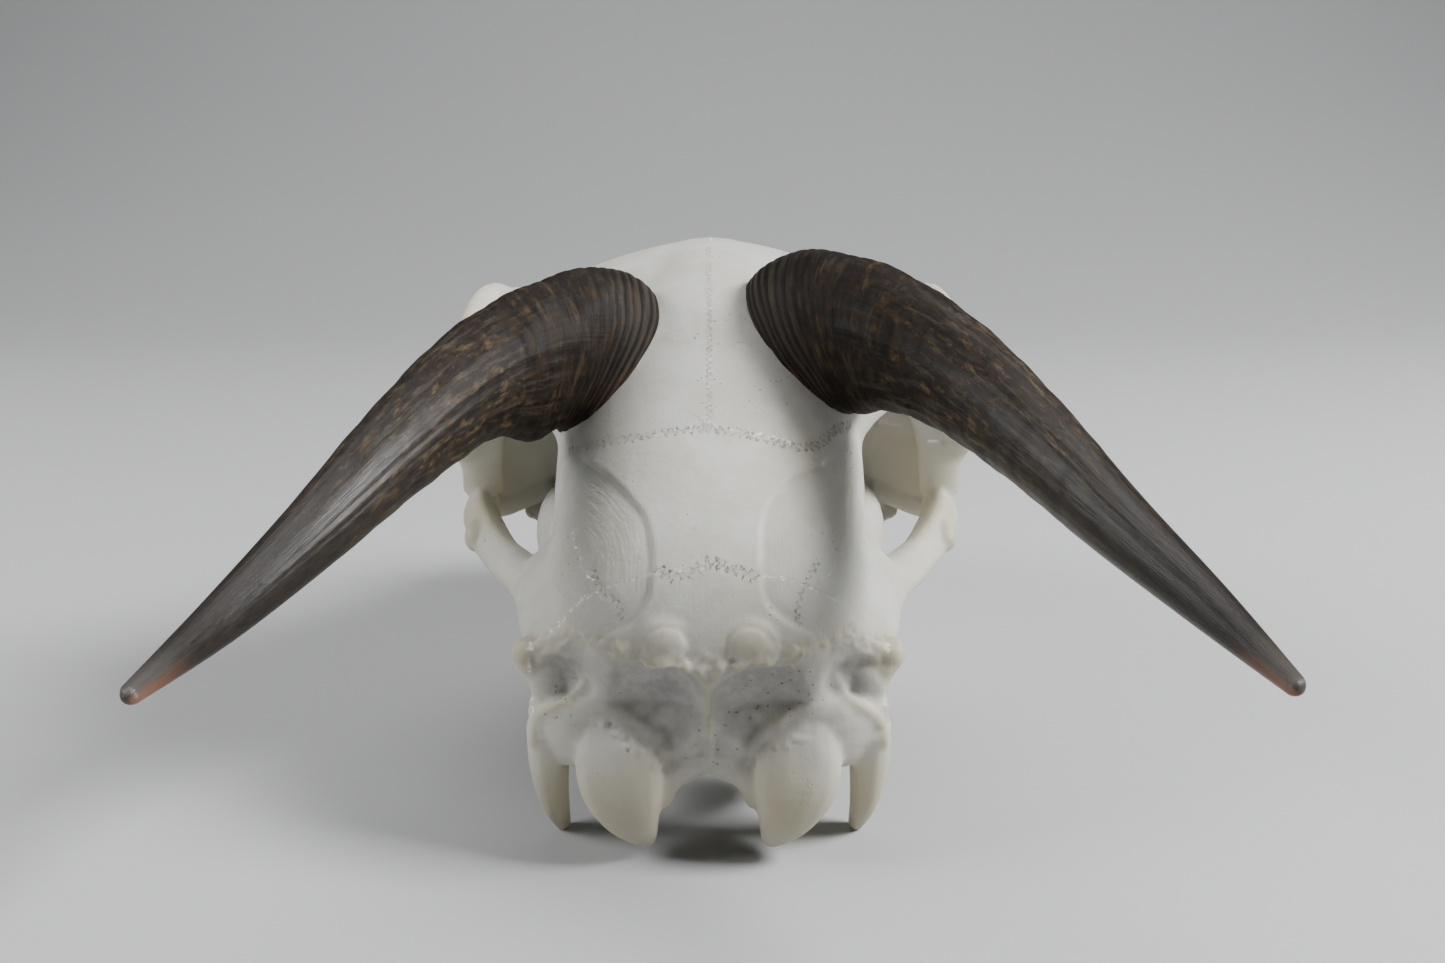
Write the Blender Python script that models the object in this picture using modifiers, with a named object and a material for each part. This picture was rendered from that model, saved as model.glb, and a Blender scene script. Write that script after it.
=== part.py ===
"""A domestic goat's skull with its two horn sheaths, life size, resting on its last cheek teeth and
on the two processes beside its condyles, with its nose raised.

The bone is modelled whole: lofts, sweeps and ellipsoids are fused by a voxel remesh, the orbits,
nose, throat and brain openings are carved out, the thin bars and ridges are fused on, and the
surface is thinned. The cheek teeth are then joined on, and thin cuts along the sutures part it
into its named bones. The horn sheaths are swept ovals cut to fit the forehead.

Points are millimetres in the skull's own frame: across (to the animal's left), ahead of the
condyles' rear, and up from the chewing plane. The nose points to -Y.
"""

import math
from collections import namedtuple

import bmesh
import bpy
from mathutils import Euler, Matrix, Vector

MM = 0.001
GAP = 0.32

# Voxel sizes, smoothing passes and the triangles kept on the whole bone
COARSE_VOXEL = 1.25
FINE_VOXEL = 0.9
COARSE_SMOOTHING = 8
FINE_SMOOTHING = 3
BONE_TRIANGLES = 7250

# Driving sizes, from the species and the photograph
ORBIT_AHEAD = 99.0
ORBIT_UP = 76.0
ORBIT_HALF_LENGTH = 20.5
ORBIT_HALF_HEIGHT = 18.6
ORBIT_HALF_SPREAD = 49.7

Finish = namedtuple("Finish", "name colour roughness")
BONE = Finish("bone", (0.80, 0.78, 0.70), 0.55)
HORN = Finish("horn", (0.045, 0.036, 0.028), 0.45)

Station = namedtuple("Station", "ahead half_width top bottom widest square")
RoofStation = namedtuple("RoofStation", "ahead half_width middle_up edge_up thickness")
Tooth = namedtuple("Tooth", "ahead across length width lobes")
Horn = namedtuple("Horn", "name side path")
Region = namedtuple("Region", "name paired prisms")
Prism = namedtuple("Prism", "inner outer outline")

# The braincase, from the nape to the forehead
VAULT = (
    Station(9.0, 12.0, 63.5, 36.5, 54, 2.4),
    Station(11, 18.5, 68.5, 33.0, 54.5, 2.4),
    Station(13.5, 23.5, 72.5, 31.5, 55, 2.35),
    Station(17, 27.6, 77.0, 31.5, 56, 2.3),
    Station(21, 30.0, 80.4, 32.5, 57, 2.25),
    Station(26, 31.0, 83.8, 33.5, 58, 2.2),
    Station(34, 31.3, 88.2, 34.5, 61, 2.2),
    Station(44, 31.3, 92.8, 37.0, 65, 2.2),
    Station(56, 31.8, 97.4, 39.0, 70, 2.2),
    Station(68, 31.5, 101.8, 41.0, 75, 2.2),
    Station(80, 28.5, 106.2, 43.0, 79, 2.2),
    Station(92, 25.0, 109.6, 45.0, 82, 2.3),
    Station(102, 24.0, 110.8, 48.0, 82, 2.3),
    Station(112, 24.0, 107.8, 50.0, 80, 2.3),
    Station(120, 24.0, 102.4, 52.0, 76, 2.3),
)

# The forehead's plate, out over both orbits
ROOF = (
    RoofStation(54, 24.0, 95.4, 88.0, 10),
    RoofStation(62, 30.0, 97.8, 88.0, 10),
    RoofStation(72, 38.0, 101.0, 89.5, 9),
    RoofStation(82, 46.0, 105.0, 90.4, 8),
    RoofStation(92, 50.3, 108.0, 91.2, 7),
    RoofStation(101, 51.4, 109.2, 91.8, 7),
    RoofStation(110, 49.5, 107.2, 91.6, 8),
    RoofStation(118, 44.0, 102.6, 90.0, 9),
    RoofStation(127, 34.0, 96.0, 84.5, 11),
)

# The upper face: from before the orbits down to the nose
UPPER_FACE = (
    Station(101, 45.5, 104.0, 50.0, 78, 2.3),
    Station(110, 45.3, 104.0, 46.0, 76, 2.3),
    Station(117, 43.0, 101.2, 42.0, 73, 2.3),
    Station(124, 38.5, 97.2, 38.0, 69, 2.3),
    Station(131, 33.2, 92.2, 34.0, 64, 2.3),
    Station(139, 28.6, 86.4, 30.0, 57, 2.25),
    Station(148, 24.2, 79.4, 26.0, 50, 2.2),
    Station(158, 20.2, 71.8, 23.0, 44, 2.2),
    Station(168, 17.2, 64.2, 20.0, 38, 2.2),
    Station(177, 14.5, 57.5, 15.0, 32, 2.2),
)

# The tooth-bearing lower face and the hard palate
LOWER_FACE = (
    Station(77, 21.0, 47.0, 27.0, 37, 2.6),
    Station(83, 28.0, 50.0, 16.0, 32, 2.8),
    Station(92, 31.0, 52.0, 13.5, 29, 2.8),
    Station(103, 32.8, 56.0, 13.0, 28, 2.6),
    Station(114, 33.4, 58.0, 13.0, 29, 2.5),
    Station(124, 30.4, 58.0, 13.5, 29, 2.5),
    Station(134, 26.0, 54.0, 14.0, 29, 2.4),
    Station(144, 21.4, 48.0, 15.0, 29, 2.3),
    Station(154, 17.2, 42.0, 15.5, 28, 2.2),
    Station(163, 14.6, 36.0, 14.5, 26, 2.2),
    Station(172, 13.4, 30.0, 12.5, 22, 2.2),
)

NASAL = (
    RoofStation(122, 13.0, 101.6, 97.0, 7),
    RoofStation(130, 13.4, 95.0, 90.4, 7),
    RoofStation(140, 12.6, 87.2, 82.0, 6),
    RoofStation(150, 12.0, 79.8, 74.0, 5),
    RoofStation(160, 11.4, 72.8, 66.6, 4),
    RoofStation(169, 9.4, 66.6, 61.6, 3.2),
    RoofStation(177, 4.4, 60.8, 58.6, 2.4),
)

NOSE_SPACE = (
    Station(128, 7.0, 62.0, 38.0, 50, 2.1),
    Station(140, 12.0, 70.0, 31.0, 50, 2.2),
    Station(152, 14.6, 70.5, 26.5, 47, 2.2),
    Station(163, 14.4, 65.5, 20.5, 42, 2.2),
    Station(174, 12.8, 60.5, 16.5, 36, 2.2),
    Station(186, 11.6, 58.0, 12.0, 30, 2.2),
    Station(200, 11.6, 56.0, 10.0, 28, 2.2),
)

# Everything ahead of this line, seen from the side, is cut off the face above the toes of the nose.
NOSE_FRONT = ((153, 92), (157.5, 69), (161, 58), (174, 34), (184, 16), (180, 5), (215, 5), (215, 92))

CHEEK_TEETH = (
    Tooth(139.4, 19.8, 6.6, 6.4, 1),
    Tooth(132.0, 21.4, 7.8, 8.0, 1),
    Tooth(124.0, 23.0, 8.0, 9.6, 1),
    Tooth(114.2, 24.8, 11.4, 11.4, 2),
    Tooth(101.6, 26.2, 13.4, 12.4, 2),
    Tooth(87.8, 26.8, 14.2, 11.6, 2),
)

HORNS = (
    Horn(
        "horn_left",
        1,
        (
            (15.6, 77, 85),
            (22.4, 70, 95.8),
            (32.0, 61, 100.8),
            (43.6, 45.5, 102.0),
            (54.0, 22, 100.6),
            (62.8, -2, 98.8),
            (70.2, -27, 99.6),
            (75.4, -50.4, 103.4),
        ),
    ),
    Horn(
        "horn_right",
        -1,
        (
            (12.4, 80, 88),
            (20.4, 73, 98.2),
            (32.0, 62.5, 104.0),
            (45.4, 46, 103.8),
            (56.2, 23, 102.4),
            (65.0, -2, 101.2),
            (72.8, -27, 102.0),
            (78.0, -50, 104.4),
        ),
    ),
)
# Half the long and the short axis of a horn's oval at each point of its path, and how far the long
# axis leans towards the middle of the head, in degrees
HORN_LONG = (14, 17, 13.4, 10.4, 7.9, 5.6, 3.5, 1.3)
HORN_SHORT = (10, 12.5, 10.8, 8.8, 6.8, 4.7, 3.0, 1.1)
HORN_LEANS = (10, 10, 14, 20, 26, 32, 36, 40)
HORN_KEEL = 0.10
# The part of its length over which a sheath's base is flatter behind and flares below
HORN_BASE = 0.34
BASE_FLAT = 0.2
BASE_FLARE = 0.16
# Where a sheath starts, a little inside the bone, as a share of its length
HORN_ROOT = -0.05

TOOTH_SIDES = 18
TOOTH_FOLD = 0.2
# Points lower than this belong to the teeth's worn ends
CHEWING_LEVEL = 0.1

# The named bones, each as side-view outlines (ahead, up) with their limits across. The first that
# holds a piece of bone takes it, and what none takes is the sphenoid.
HALF_SPAN = 62.0
NASAL_LINE = ((121, 93.6), (134, 83), (150, 71), (161, 64), (182, 53), (182, 70), (150, 92), (121, 112))
PREMAXILLA_LINE = ((148.5, 66), (168, 24), (160, 16), (160, -5), (200, -5), (200, 80), (148.5, 80))
NAPE_LINE = ((-10, 38), (19.8, 38), (19.8, 62), (18.0, 84), (-10, 84))
CONDYLE_LINE = ((-10, 5), (23.4, 5), (23.4, 44), (19.0, 48), (-10, 48))
FLOOR_LINE = ((10, 5), (44, 5), (44, 48), (10, 48))
PARIETAL_LINE = ((5, 72), (24, 75), (44.4, 80), (44.4, 120), (5, 120))
TEMPLE_LINE = ((5, 10), (46, 10), (48, 74), (46, 84), (5, 84))
ARCH_LINE = ((36, 44), (64.4, 44), (64.4, 70), (36, 70))
CHEEK_LINE = ((60, 42), (100, 40), (122, 52), (123, 66), (99, 71), (84, 73), (60, 73))
TEAR_LINE = ((106, 72), (118, 64), (136, 70), (137, 86), (114, 92), (106, 84))
JAW_LINE = ((70, -5), (176, -5), (176, 76), (124, 100), (112, 70), (99, 58), (84, 50), (74, 46))
BROW_LINE = ((40, 54), (62, 54), (76, 47), (140, 47), (140, 130), (40, 130))
REGIONS = (
    Region("nasal", True, (Prism(0, 13.6, NASAL_LINE),)),
    Region("premaxilla", True, (Prism(0, 30, PREMAXILLA_LINE),)),
    Region(
        "occipital",
        False,
        (Prism(-33.2, 33.2, NAPE_LINE), Prism(-40, 40, CONDYLE_LINE), Prism(-11.6, 11.6, FLOOR_LINE)),
    ),
    Region("parietal", False, (Prism(-HALF_SPAN, HALF_SPAN, PARIETAL_LINE),)),
    Region("temporal", True, (Prism(0, HALF_SPAN, TEMPLE_LINE), Prism(33, HALF_SPAN, ARCH_LINE))),
    Region("zygomatic", True, (Prism(36.5, HALF_SPAN, CHEEK_LINE),)),
    Region("lacrimal", True, (Prism(16, HALF_SPAN, TEAR_LINE),)),
    Region("maxilla", True, (Prism(0, HALF_SPAN, JAW_LINE),)),
    Region("frontal", True, (Prism(0, HALF_SPAN, BROW_LINE),)),
)


# Placing, lofting and sweeping


def at(across, ahead, up):
    """A point of the skull's frame, in metres."""
    return Vector((across, -ahead, up)) * MM


def between(values, t):
    """A smooth value at t, from 0 at the first of the values to 1 at the last (Catmull-Rom)."""
    spans = len(values) - 1
    k = min(int(t * spans), spans - 1)
    f = t * spans - k
    p = [values[max(0, min(spans, k + i))] for i in (-1, 0, 1, 2)]
    return 0.5 * (
        2 * p[1]
        + (p[2] - p[0]) * f
        + (2 * p[0] - 5 * p[1] + 4 * p[2] - p[3]) * f * f
        + (3 * p[1] - p[0] - 3 * p[2] + p[3]) * f * f * f
    )


def smoothed(stations, steps):
    """Stations evenly between the given ones, on smooth curves."""
    columns = list(zip(*stations))
    kind = type(stations[0])
    return [kind(*(between(column, i / steps) for column in columns)) for i in range(steps + 1)]


def loft(bm, rings):
    """A closed skin through rings of points, flat at both ends."""
    rows = [[bm.verts.new(point) for point in ring] for ring in rings]
    count = len(rows[0])
    for low, high in zip(rows, rows[1:]):
        for i in range(count):
            j = (i + 1) % count
            bm.faces.new((low[i], low[j], high[j], high[i]))
    bm.faces.new(rows[0])
    bm.faces.new(rows[-1])


def oval_ring(station, sides=40):
    """A cross-section: a squared oval, with its own top, bottom and widest level."""
    points = []
    power = 2 / station.square
    for k in range(sides):
        angle = 2 * math.pi * k / sides
        c, s = math.cos(angle), math.sin(angle)
        across = station.half_width * math.copysign(abs(c) ** power, c)
        reach = station.top - station.widest if s > 0 else station.widest - station.bottom
        up = station.widest + reach * math.copysign(abs(s) ** power, s)
        points.append(at(across, station.ahead, up))
    return points


def roof_ring(station, sides=17):
    """A plate in cross-section: domed along the middle and falling to each edge."""
    spread = [2 * k / (sides - 1) - 1 for k in range(sides)]
    fall = station.middle_up - station.edge_up
    ups = [station.middle_up - fall * abs(s) ** 1.45 for s in spread]
    upper = [at(station.half_width * s, station.ahead, up) for s, up in zip(spread, ups)]
    lower = [
        at(station.half_width * s * 0.97, station.ahead, up - station.thickness)
        for s, up in zip(spread, ups)
    ]
    return upper + lower[::-1]


def frames(points, steps, upright, start=0.0):
    """Points evenly along a smooth path, each with its sideways and upright directions."""
    centres = [between(points, start + (1 - start) * i / steps) for i in range(steps + 1)]
    rows = []
    for i, centre in enumerate(centres):
        tangent = (centres[min(i + 1, steps)] - centres[max(i - 1, 0)]).normalized()
        up = (upright - tangent * tangent.dot(upright)).normalized()
        rows.append((centre, tangent.cross(up), up))
    return rows


def sweep(bm, path, sizes, upright=(0, 0, 1), steps=16, sides=14, square=2.0):
    """A bar through points: each size is half its width sideways and along upright."""
    power = 2 / square
    rings = []
    wide, tall = zip(*sizes)
    for i, (centre, side, up) in enumerate(frames([at(*p) for p in path], steps, Vector(upright))):
        a = max(between(wide, i / steps), 0.3) * MM
        b = max(between(tall, i / steps), 0.3) * MM
        ring = []
        for k in range(sides):
            q = 2 * math.pi * k / sides
            c, s = math.cos(q), math.sin(q)
            ring.append(
                centre
                + side * a * math.copysign(abs(c) ** power, c)
                + up * b * math.copysign(abs(s) ** power, s)
            )
        rings.append(ring)
    loft(bm, rings)


def mirrored(side, path):
    """The path on the animal's left (1) or right (-1)."""
    return [(side * across, ahead, up) for across, ahead, up in path]


def ellipsoid(bm, centre, radii, turn=(0, 0, 0)):
    """An ellipsoid by its radii across, ahead and up, turned about x, y and z in degrees."""
    spin = Euler([math.radians(angle) for angle in turn]).to_matrix().to_4x4()
    size = Matrix.Diagonal((*(radius * MM for radius in radii), 1))
    place = Matrix.Translation(at(*centre)) @ spin @ size
    bmesh.ops.create_uvsphere(bm, u_segments=28, v_segments=18, radius=1, matrix=place)


def grown(outline, by):
    """A counter-clockwise outline with each edge moved out by a distance."""
    corners = [Vector(corner) for corner in outline]
    moved = []
    for before, corner, after in zip(corners[-1:] + corners[:-1], corners, corners[1:] + corners[:1]):
        first = (corner - before).normalized()
        second = (after - corner).normalized()
        out = Vector((first.y, -first.x)) + Vector((second.y, -second.x))
        moved.append(corner + out * by / (1 + first.dot(second)))
    return moved


def side_prism(bm, prism, side, grow=0.0):
    """A side-view outline (ahead, up) carried across from the prism's inner to its outer limit."""
    outline = grown(prism.outline, grow)
    limits = (prism.inner - grow, prism.outer + grow)
    loft(bm, [[at(side * limit, corner.x, corner.y) for corner in outline] for limit in limits])


# Scene objects


def clear_scene():
    for obj in list(bpy.data.objects):
        bpy.data.objects.remove(obj)


def object_from(bm, name):
    """Moves the bmesh into an object whose faces all point out."""
    bmesh.ops.recalc_face_normals(bm, faces=bm.faces)
    mesh = bpy.data.meshes.new(name)
    bm.to_mesh(mesh)
    bm.free()
    obj = bpy.data.objects.new(name, mesh)
    bpy.context.scene.collection.objects.link(obj)
    return obj


def applied(obj):
    """Bakes an object's modifiers into its mesh."""
    graph = bpy.context.evaluated_depsgraph_get()
    mesh = bpy.data.meshes.new_from_object(obj.evaluated_get(graph))
    obj.modifiers.clear()
    obj.data = mesh
    return obj


def copied(obj, name):
    twin = obj.copy()
    twin.data = obj.data.copy()
    twin.name = name
    bpy.context.scene.collection.objects.link(twin)
    return twin


def combined(obj, tool, operation, solver="EXACT"):
    """The object after a Boolean with the tool, which is removed."""
    step = obj.modifiers.new("combine", "BOOLEAN")
    step.operation = operation
    step.solver = solver
    step.object = tool
    applied(obj)
    bpy.data.objects.remove(tool)
    return obj


def fused(bm, name, voxel, smoothing):
    """One closed surface round all the bmesh's overlapping shapes."""
    obj = object_from(bm, name)
    remesh = obj.modifiers.new("fuse", "REMESH")
    remesh.mode = "VOXEL"
    remesh.voxel_size = voxel * MM
    smooth = obj.modifiers.new("blend", "SMOOTH")
    smooth.factor = 0.5
    smooth.iterations = smoothing
    return applied(obj)


def island(seed, seen):
    """The faces joined to a face."""
    seen.add(seed)
    stack = [seed]
    found = []
    while stack:
        face = stack.pop()
        found.append(face)
        for edge in face.edges:
            for other in edge.link_faces:
                if other not in seen:
                    seen.add(other)
                    stack.append(other)
    return found


def enclosed(faces):
    """The volume that triangles close in."""
    total = 0.0
    for face in faces:
        a, b, c = (vert.co for vert in face.verts)
        total += a.dot(b.cross(c)) / 6
    return total


def largest_only(obj):
    """Keeps the largest closed surface of an object, as triangles."""
    bm = bmesh.new()
    bm.from_mesh(obj.data)
    bmesh.ops.triangulate(bm, faces=bm.faces)
    seen = set()
    parts = [island(face, seen) for face in bm.faces if face not in seen]
    parts.sort(key=enclosed)
    loose = [face for part in parts[:-1] for face in part]
    bmesh.ops.delete(bm, geom=loose, context="FACES")
    bm.to_mesh(obj.data)
    bm.free()
    return obj


# The bone's solid masses


def add_vault(bm):
    loft(bm, [oval_ring(station) for station in smoothed(VAULT, 42)])
    loft(bm, [roof_ring(station) for station in smoothed(ROOF, 28)])


def add_face(bm):
    loft(bm, [oval_ring(station) for station in smoothed(UPPER_FACE, 32)])
    loft(bm, [oval_ring(station) for station in smoothed(LOWER_FACE, 32)])


def add_tooth_rail(bm, side):
    """The edge of the jaw that the teeth grow from, and the swelling above it."""
    rail = [(26.0, 79, 17), (27.2, 90, 15), (26.2, 104, 14.5), (23.4, 122, 14.5), (19.0, 145, 16.5)]
    sizes = [(4.5, 5.5), (6.2, 7.0), (6.4, 7.5), (5.2, 7.0), (3.4, 3.6)]
    sweep(bm, mirrored(side, rail), sizes)
    ellipsoid(bm, (side * 29.6, 111, 29), (6.0, 15, 9))
    ellipsoid(bm, (side * 22.0, 84, 38), (9, 8, 15))


def add_cheek_root(bm, side):
    """The walls under and behind the orbit, down to the jaw."""
    ellipsoid(bm, (side * 37.0, 104, 52), (12.5, 15, 8.0), (0, side * 14, side * -6))
    ellipsoid(bm, (side * 31.0, 106, 44), (7.5, 15, 13))
    wall = [(29.8, 46, 59), (31.0, 58, 57.5), (32.4, 70, 55), (33.2, 82, 51), (33, 92, 48)]
    sizes = [(4.5, 5.5), (5.4, 6.8), (5.8, 8.0), (6.2, 8.4), (6.5, 7.4)]
    sweep(bm, mirrored(side, wall), sizes)
    sill = [(34, 89, 54), (39, 87.5, 51.5), (43, 88, 51.5)]
    sweep(bm, mirrored(side, sill), [(4.2, 4.6), (3.8, 4.4), (3.8, 4.6)])


def add_ear_shelf(bm, side):
    """The shelf from the knob behind the ear to the root of the cheek arch."""
    shelf = [(31.4, 19, 57.0), (31.8, 28, 56.6), (32.8, 36, 56.0), (34.6, 44, 55.8), (38.0, 51, 56.2)]
    sizes = [(3.4, 2.6), (5.0, 2.6), (5.6, 2.8), (6.0, 3.0), (6.2, 3.0)]
    sweep(bm, mirrored(side, shelf), sizes)
    ellipsoid(bm, (side * 28.5, 33, 50), (5.5, 12, 8))
    slope = [(26.6, 16, 59.0), (29.2, 24, 60.8), (30.8, 32, 61.6)]
    slope += [(32.4, 40, 61.8), (33.8, 45.5, 60.4), (35.8, 49.5, 58.0)]
    sizes = [(6.0, 3.0), (8.0, 3.6), (8.6, 3.9), (8.4, 4.0), (6.0, 3.4), (3.2, 2.4)]
    sweep(bm, mirrored(side, slope), sizes, upright=(side * 0.81, 0, 0.58))
    tube = [(25, 33, 42.5), (30, 30.5, 44.5), (34.6, 28, 46.4)]
    sweep(bm, mirrored(side, tube), [(3.6, 3.6), (3.4, 3.4), (3.0, 3.0)])


def add_base(bm, side):
    """The bar of the skull's floor with its tubercles, and the ear capsule beside it."""
    floor = [(0, 13, 31.5), (0, 24, 33.5), (0, 38, 36.5), (0, 52, 41), (0, 68, 46)]
    sweep(bm, floor, [(9, 3.4), (10.5, 4.4), (10, 4.8), (8, 5.0), (6, 5.0)])
    ellipsoid(bm, (side * 5.4, 38, 32.4), (3.2, 5.0, 2.8))
    ellipsoid(bm, (side * 19.4, 33, 32.6), (5.6, 10.0, 8.6), (0, side * 10, side * 16))
    spine = [(17.8, 42, 30), (16.8, 47, 26.4)]
    sweep(bm, mirrored(side, spine), [(1.8, 2.4), (0.9, 1.0)])


def add_horn_core(bm, horn):
    """The swelling of the forehead that carries a horn."""
    path = mirrored(horn.side, horn.path[:3])
    sweep(bm, path, [(9.6, 10.0), (8.8, 11.5), (6.5, 8.0)])


# Spaces carved out of the masses


def orbit_space(bm, side):
    """The eye's bowl, open behind into the space of the chewing muscle."""
    ellipsoid(bm, (side * 46.5, 98.0, 76.0), (21.0, 18.5, 17.5), (0, 0, side * 12))
    ellipsoid(bm, (side * 38.0, 92.0, 75.0), (15.0, 16.5, 14.5))
    upper = [(38.4, 92, 75), (42.2, 80, 73), (45.4, 68, 70.5), (46.0, 54, 67)]
    sweep(bm, mirrored(side, upper), [(9.5, 13.5), (9.0, 13.5), (8.8, 12.5), (7.4, 9.0)])
    lower = [(39.0, 89, 58), (42.0, 75, 54), (42.6, 60, 48)]
    sweep(bm, mirrored(side, lower), [(4.6, 7.0), (5.6, 11.0), (5.0, 8.6)])


def nose_space(bm):
    loft(bm, [oval_ring(station) for station in smoothed(NOSE_SPACE, 22)])
    side_prism(bm, Prism(-30, 30, NOSE_FRONT), 1)


def nape_space(bm, side):
    """The hollows under the nape's crest, and the cleft between condyle and process."""
    ellipsoid(bm, (side * 10.4, 0.0, 54.6), (14.4, 13.5, 16.0), (0, 0, side * -6))
    ellipsoid(bm, (side * 27.4, 13.8, 56.2), (7.0, 4.1, 5.6), (0, 0, side * -30))
    cleft = [(25.6, 4, 30.6), (25.4, 15, 30.6), (24.8, 26, 29.4)]
    sweep(bm, mirrored(side, cleft), [(1.9, 5.2), (1.9, 4.8), (1.6, 3.6)])


def throat_space(bm):
    """The rear opening of the nose."""
    path = [(0, 62, 27), (0, 77, 31), (0, 90, 33)]
    sweep(bm, path, [(7.5, 9.5), (7.0, 10.0), (4.6, 6.4)])


def brain_space(bm):
    """The great foramen: a passage with a gabled rear edge, sloping up into the braincase."""
    path = [(0, -6, 24.6), (0, 8, 27.0), (0, 20, 34.0), (0, 32, 44.0), (0, 42, 52.0)]
    sizes = [(9.4, 9.8), (9.2, 9.8), (9.8, 9.8), (10, 10), (7, 7)]
    sweep(bm, path, sizes, upright=(0, 0.3, 0.95), square=1.35)


# Ridges, bars and processes


def add_crest(bm, side):
    """The nape's crest with its two round swellings, and the knob behind the ear."""
    crest = [(0, 9.3, 63.8), (6, 9.2, 65.0), (13, 10.8, 65.6), (20.5, 14.4, 65.2)]
    crest += [(28, 17.8, 63.6), (33.4, 20.2, 58.6)]
    sizes = [(1.4, 1.3), (1.5, 1.3), (1.5, 1.3), (1.3, 1.1), (1.4, 1.2), (2.0, 1.8)]
    sweep(bm, mirrored(side, crest), sizes)
    ellipsoid(bm, (side * 7.9, 9.8, 66.9), (4.9, 2.7, 3.7), (0, side * 14, 0))
    ellipsoid(bm, (side * 13.6, 11.2, 65.6), (3.6, 2.2, 2.5), (0, side * 10, 0))
    ellipsoid(bm, (side * 34.4, 20.8, 57.8), (2.8, 3.2, 3.3))
    mastoid = [(33.4, 21.0, 56.6), (31.4, 21.0, 51.6), (31.0, 20.2, 47.0), (31.2, 18.6, 41.0)]
    sizes = [(3.0, 4.0), (2.6, 4.4), (2.7, 4.4), (3.4, 5.0)]
    sweep(bm, mirrored(side, mastoid), sizes, upright=(0, 1, 0))


def add_condyle(bm, side):
    """The rolled joint surface beside the great foramen."""
    roll = [(20.4, 12.4, 51.2), (18.6, 10.2, 46.6), (17.2, 8.8, 41.6), (16.1, 7.8, 36.4)]
    roll += [(14.4, 7.0, 30.6), (12.3, 6.8, 25.8), (11.3, 7.0, 23.6)]
    sizes = [(3.0, 3.0), (6.6, 4.3), (8.2, 4.7), (8.0, 5.0), (5.8, 4.6), (2.9, 3.0), (1.2, 1.6)]
    sweep(bm, mirrored(side, roll), sizes, upright=(0, 1, 0.2), steps=20, square=2.7)
    shoulder = [(25.0, 13.4, 50.0), (19.6, 11.6, 50.2), (13.6, 10.8, 46.0), (8.8, 10.8, 41.0)]
    sweep(bm, mirrored(side, shoulder), [(2.8, 3.0), (3.0, 3.4), (3.0, 3.8), (2.6, 3.0)])
    arch = [(0, 11, 41.6), (4, 10.6, 39.8), (8, 10, 36.4), (10, 9.4, 31)]
    sweep(bm, mirrored(side, arch), [(2.6, 3.0), (2.6, 3.0), (2.8, 3.2), (2.4, 3.0)])
    ellipsoid(bm, (side * 15.8, 15.5, 38), (7.4, 8, 9))
    ellipsoid(bm, (side * 9.4, 11.6, 41.6), (3.6, 3.6, 4.6))


def add_process(bm, side):
    """The blade that hangs outside the condyle, and the ridge that arches from it over the condyle."""
    blade = [(31.0, 17.8, 44), (31.1, 17.4, 36.4), (30.9, 17.2, 29.4)]
    blade += [(30.2, 17.0, 23.4), (28.9, 17.0, 18.0)]
    sizes = [(4.0, 5.6), (4.0, 5.4), (3.4, 4.8), (2.6, 3.6), (1.4, 1.8)]
    sweep(bm, mirrored(side, blade), sizes, upright=(0, 1, 0.1))
    ridge = [(21.0, 13.0, 50.5), (25.0, 13.4, 51.5), (29.5, 15.0, 49.0)]
    ridge += [(32.8, 15.8, 44.0), (33.4, 15.8, 38.0)]
    sweep(bm, mirrored(side, ridge), [(size, size) for size in (1.3, 1.4, 1.5, 1.5, 1.3)])
    web = [(14.0, 17, 43), (22.0, 15.6, 43.6), (27.0, 15.8, 43.6), (32.0, 17.8, 42)]
    sizes = [(4.0, 8.0), (3.9, 8.4), (3.7, 8.2), (3.4, 7.6)]
    sweep(bm, mirrored(side, web), sizes, square=2.8)


def rim_point(turn, out=0.0):
    """A point on the left orbit's rim; turn 0 is in front and 90 at the top, in degrees."""
    c, s = math.cos(math.radians(turn)), math.sin(math.radians(turn))
    return (
        ORBIT_HALF_SPREAD - 3.9 * c + 0.8 * s,
        ORBIT_AHEAD + (ORBIT_HALF_LENGTH + out) * c,
        ORBIT_UP + (ORBIT_HALF_HEIGHT + out) * s,
    )


def add_rim(bm, side):
    """The raised rim of the orbit, stouter behind and below."""
    turns = range(-180, 181, 24)
    sizes = []
    for turn in turns:
        rear = 0.5 - 0.5 * math.cos(math.radians(turn))
        low = max(0.0, -math.sin(math.radians(turn)))
        sizes.append((2.2 + 0.4 * rear + 0.4 * low, 2.6 + 1.0 * rear + 1.0 * low))
    path = mirrored(side, [rim_point(turn, 1.2) for turn in turns])
    sweep(bm, path, sizes, upright=(0.3 * side, 0.2, 0.93), steps=48)


def add_bar(bm, side):
    """The plate behind the orbit, from the forehead down to the cheek arch."""
    plate = [(43.0, 84.5, 92), (46.5, 80.8, 84), (49.0, 78.8, 76), (50.0, 77.8, 68), (50.2, 77.2, 60)]
    sizes = [(8.5, 2.8), (6.8, 2.3), (5.4, 2.1), (4.8, 2.1), (4.6, 2.6)]
    sweep(bm, mirrored(side, plate), sizes, upright=(0, 1, 0))


def add_arch(bm, side):
    """The cheek arch, from under the orbit back to the shelf above the ear."""
    arch = [(43.6, 114, 57), (47.6, 102, 53.5), (50.6, 88, 54.5), (50.4, 74, 58.0)]
    arch += [(47.8, 65, 58.0), (44.0, 57, 57.2), (39.0, 50.5, 56.4)]
    sizes = [(3.2, 6.0), (2.9, 6.2), (2.8, 5.6), (3.8, 4.4), (4.6, 3.6), (4.3, 3.2), (5.6, 3.0)]
    sweep(bm, mirrored(side, arch), sizes, steps=24)
    ellipsoid(bm, (side * 50.8, 62.5, 58.2), (2.2, 3.0, 3.4))


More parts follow.
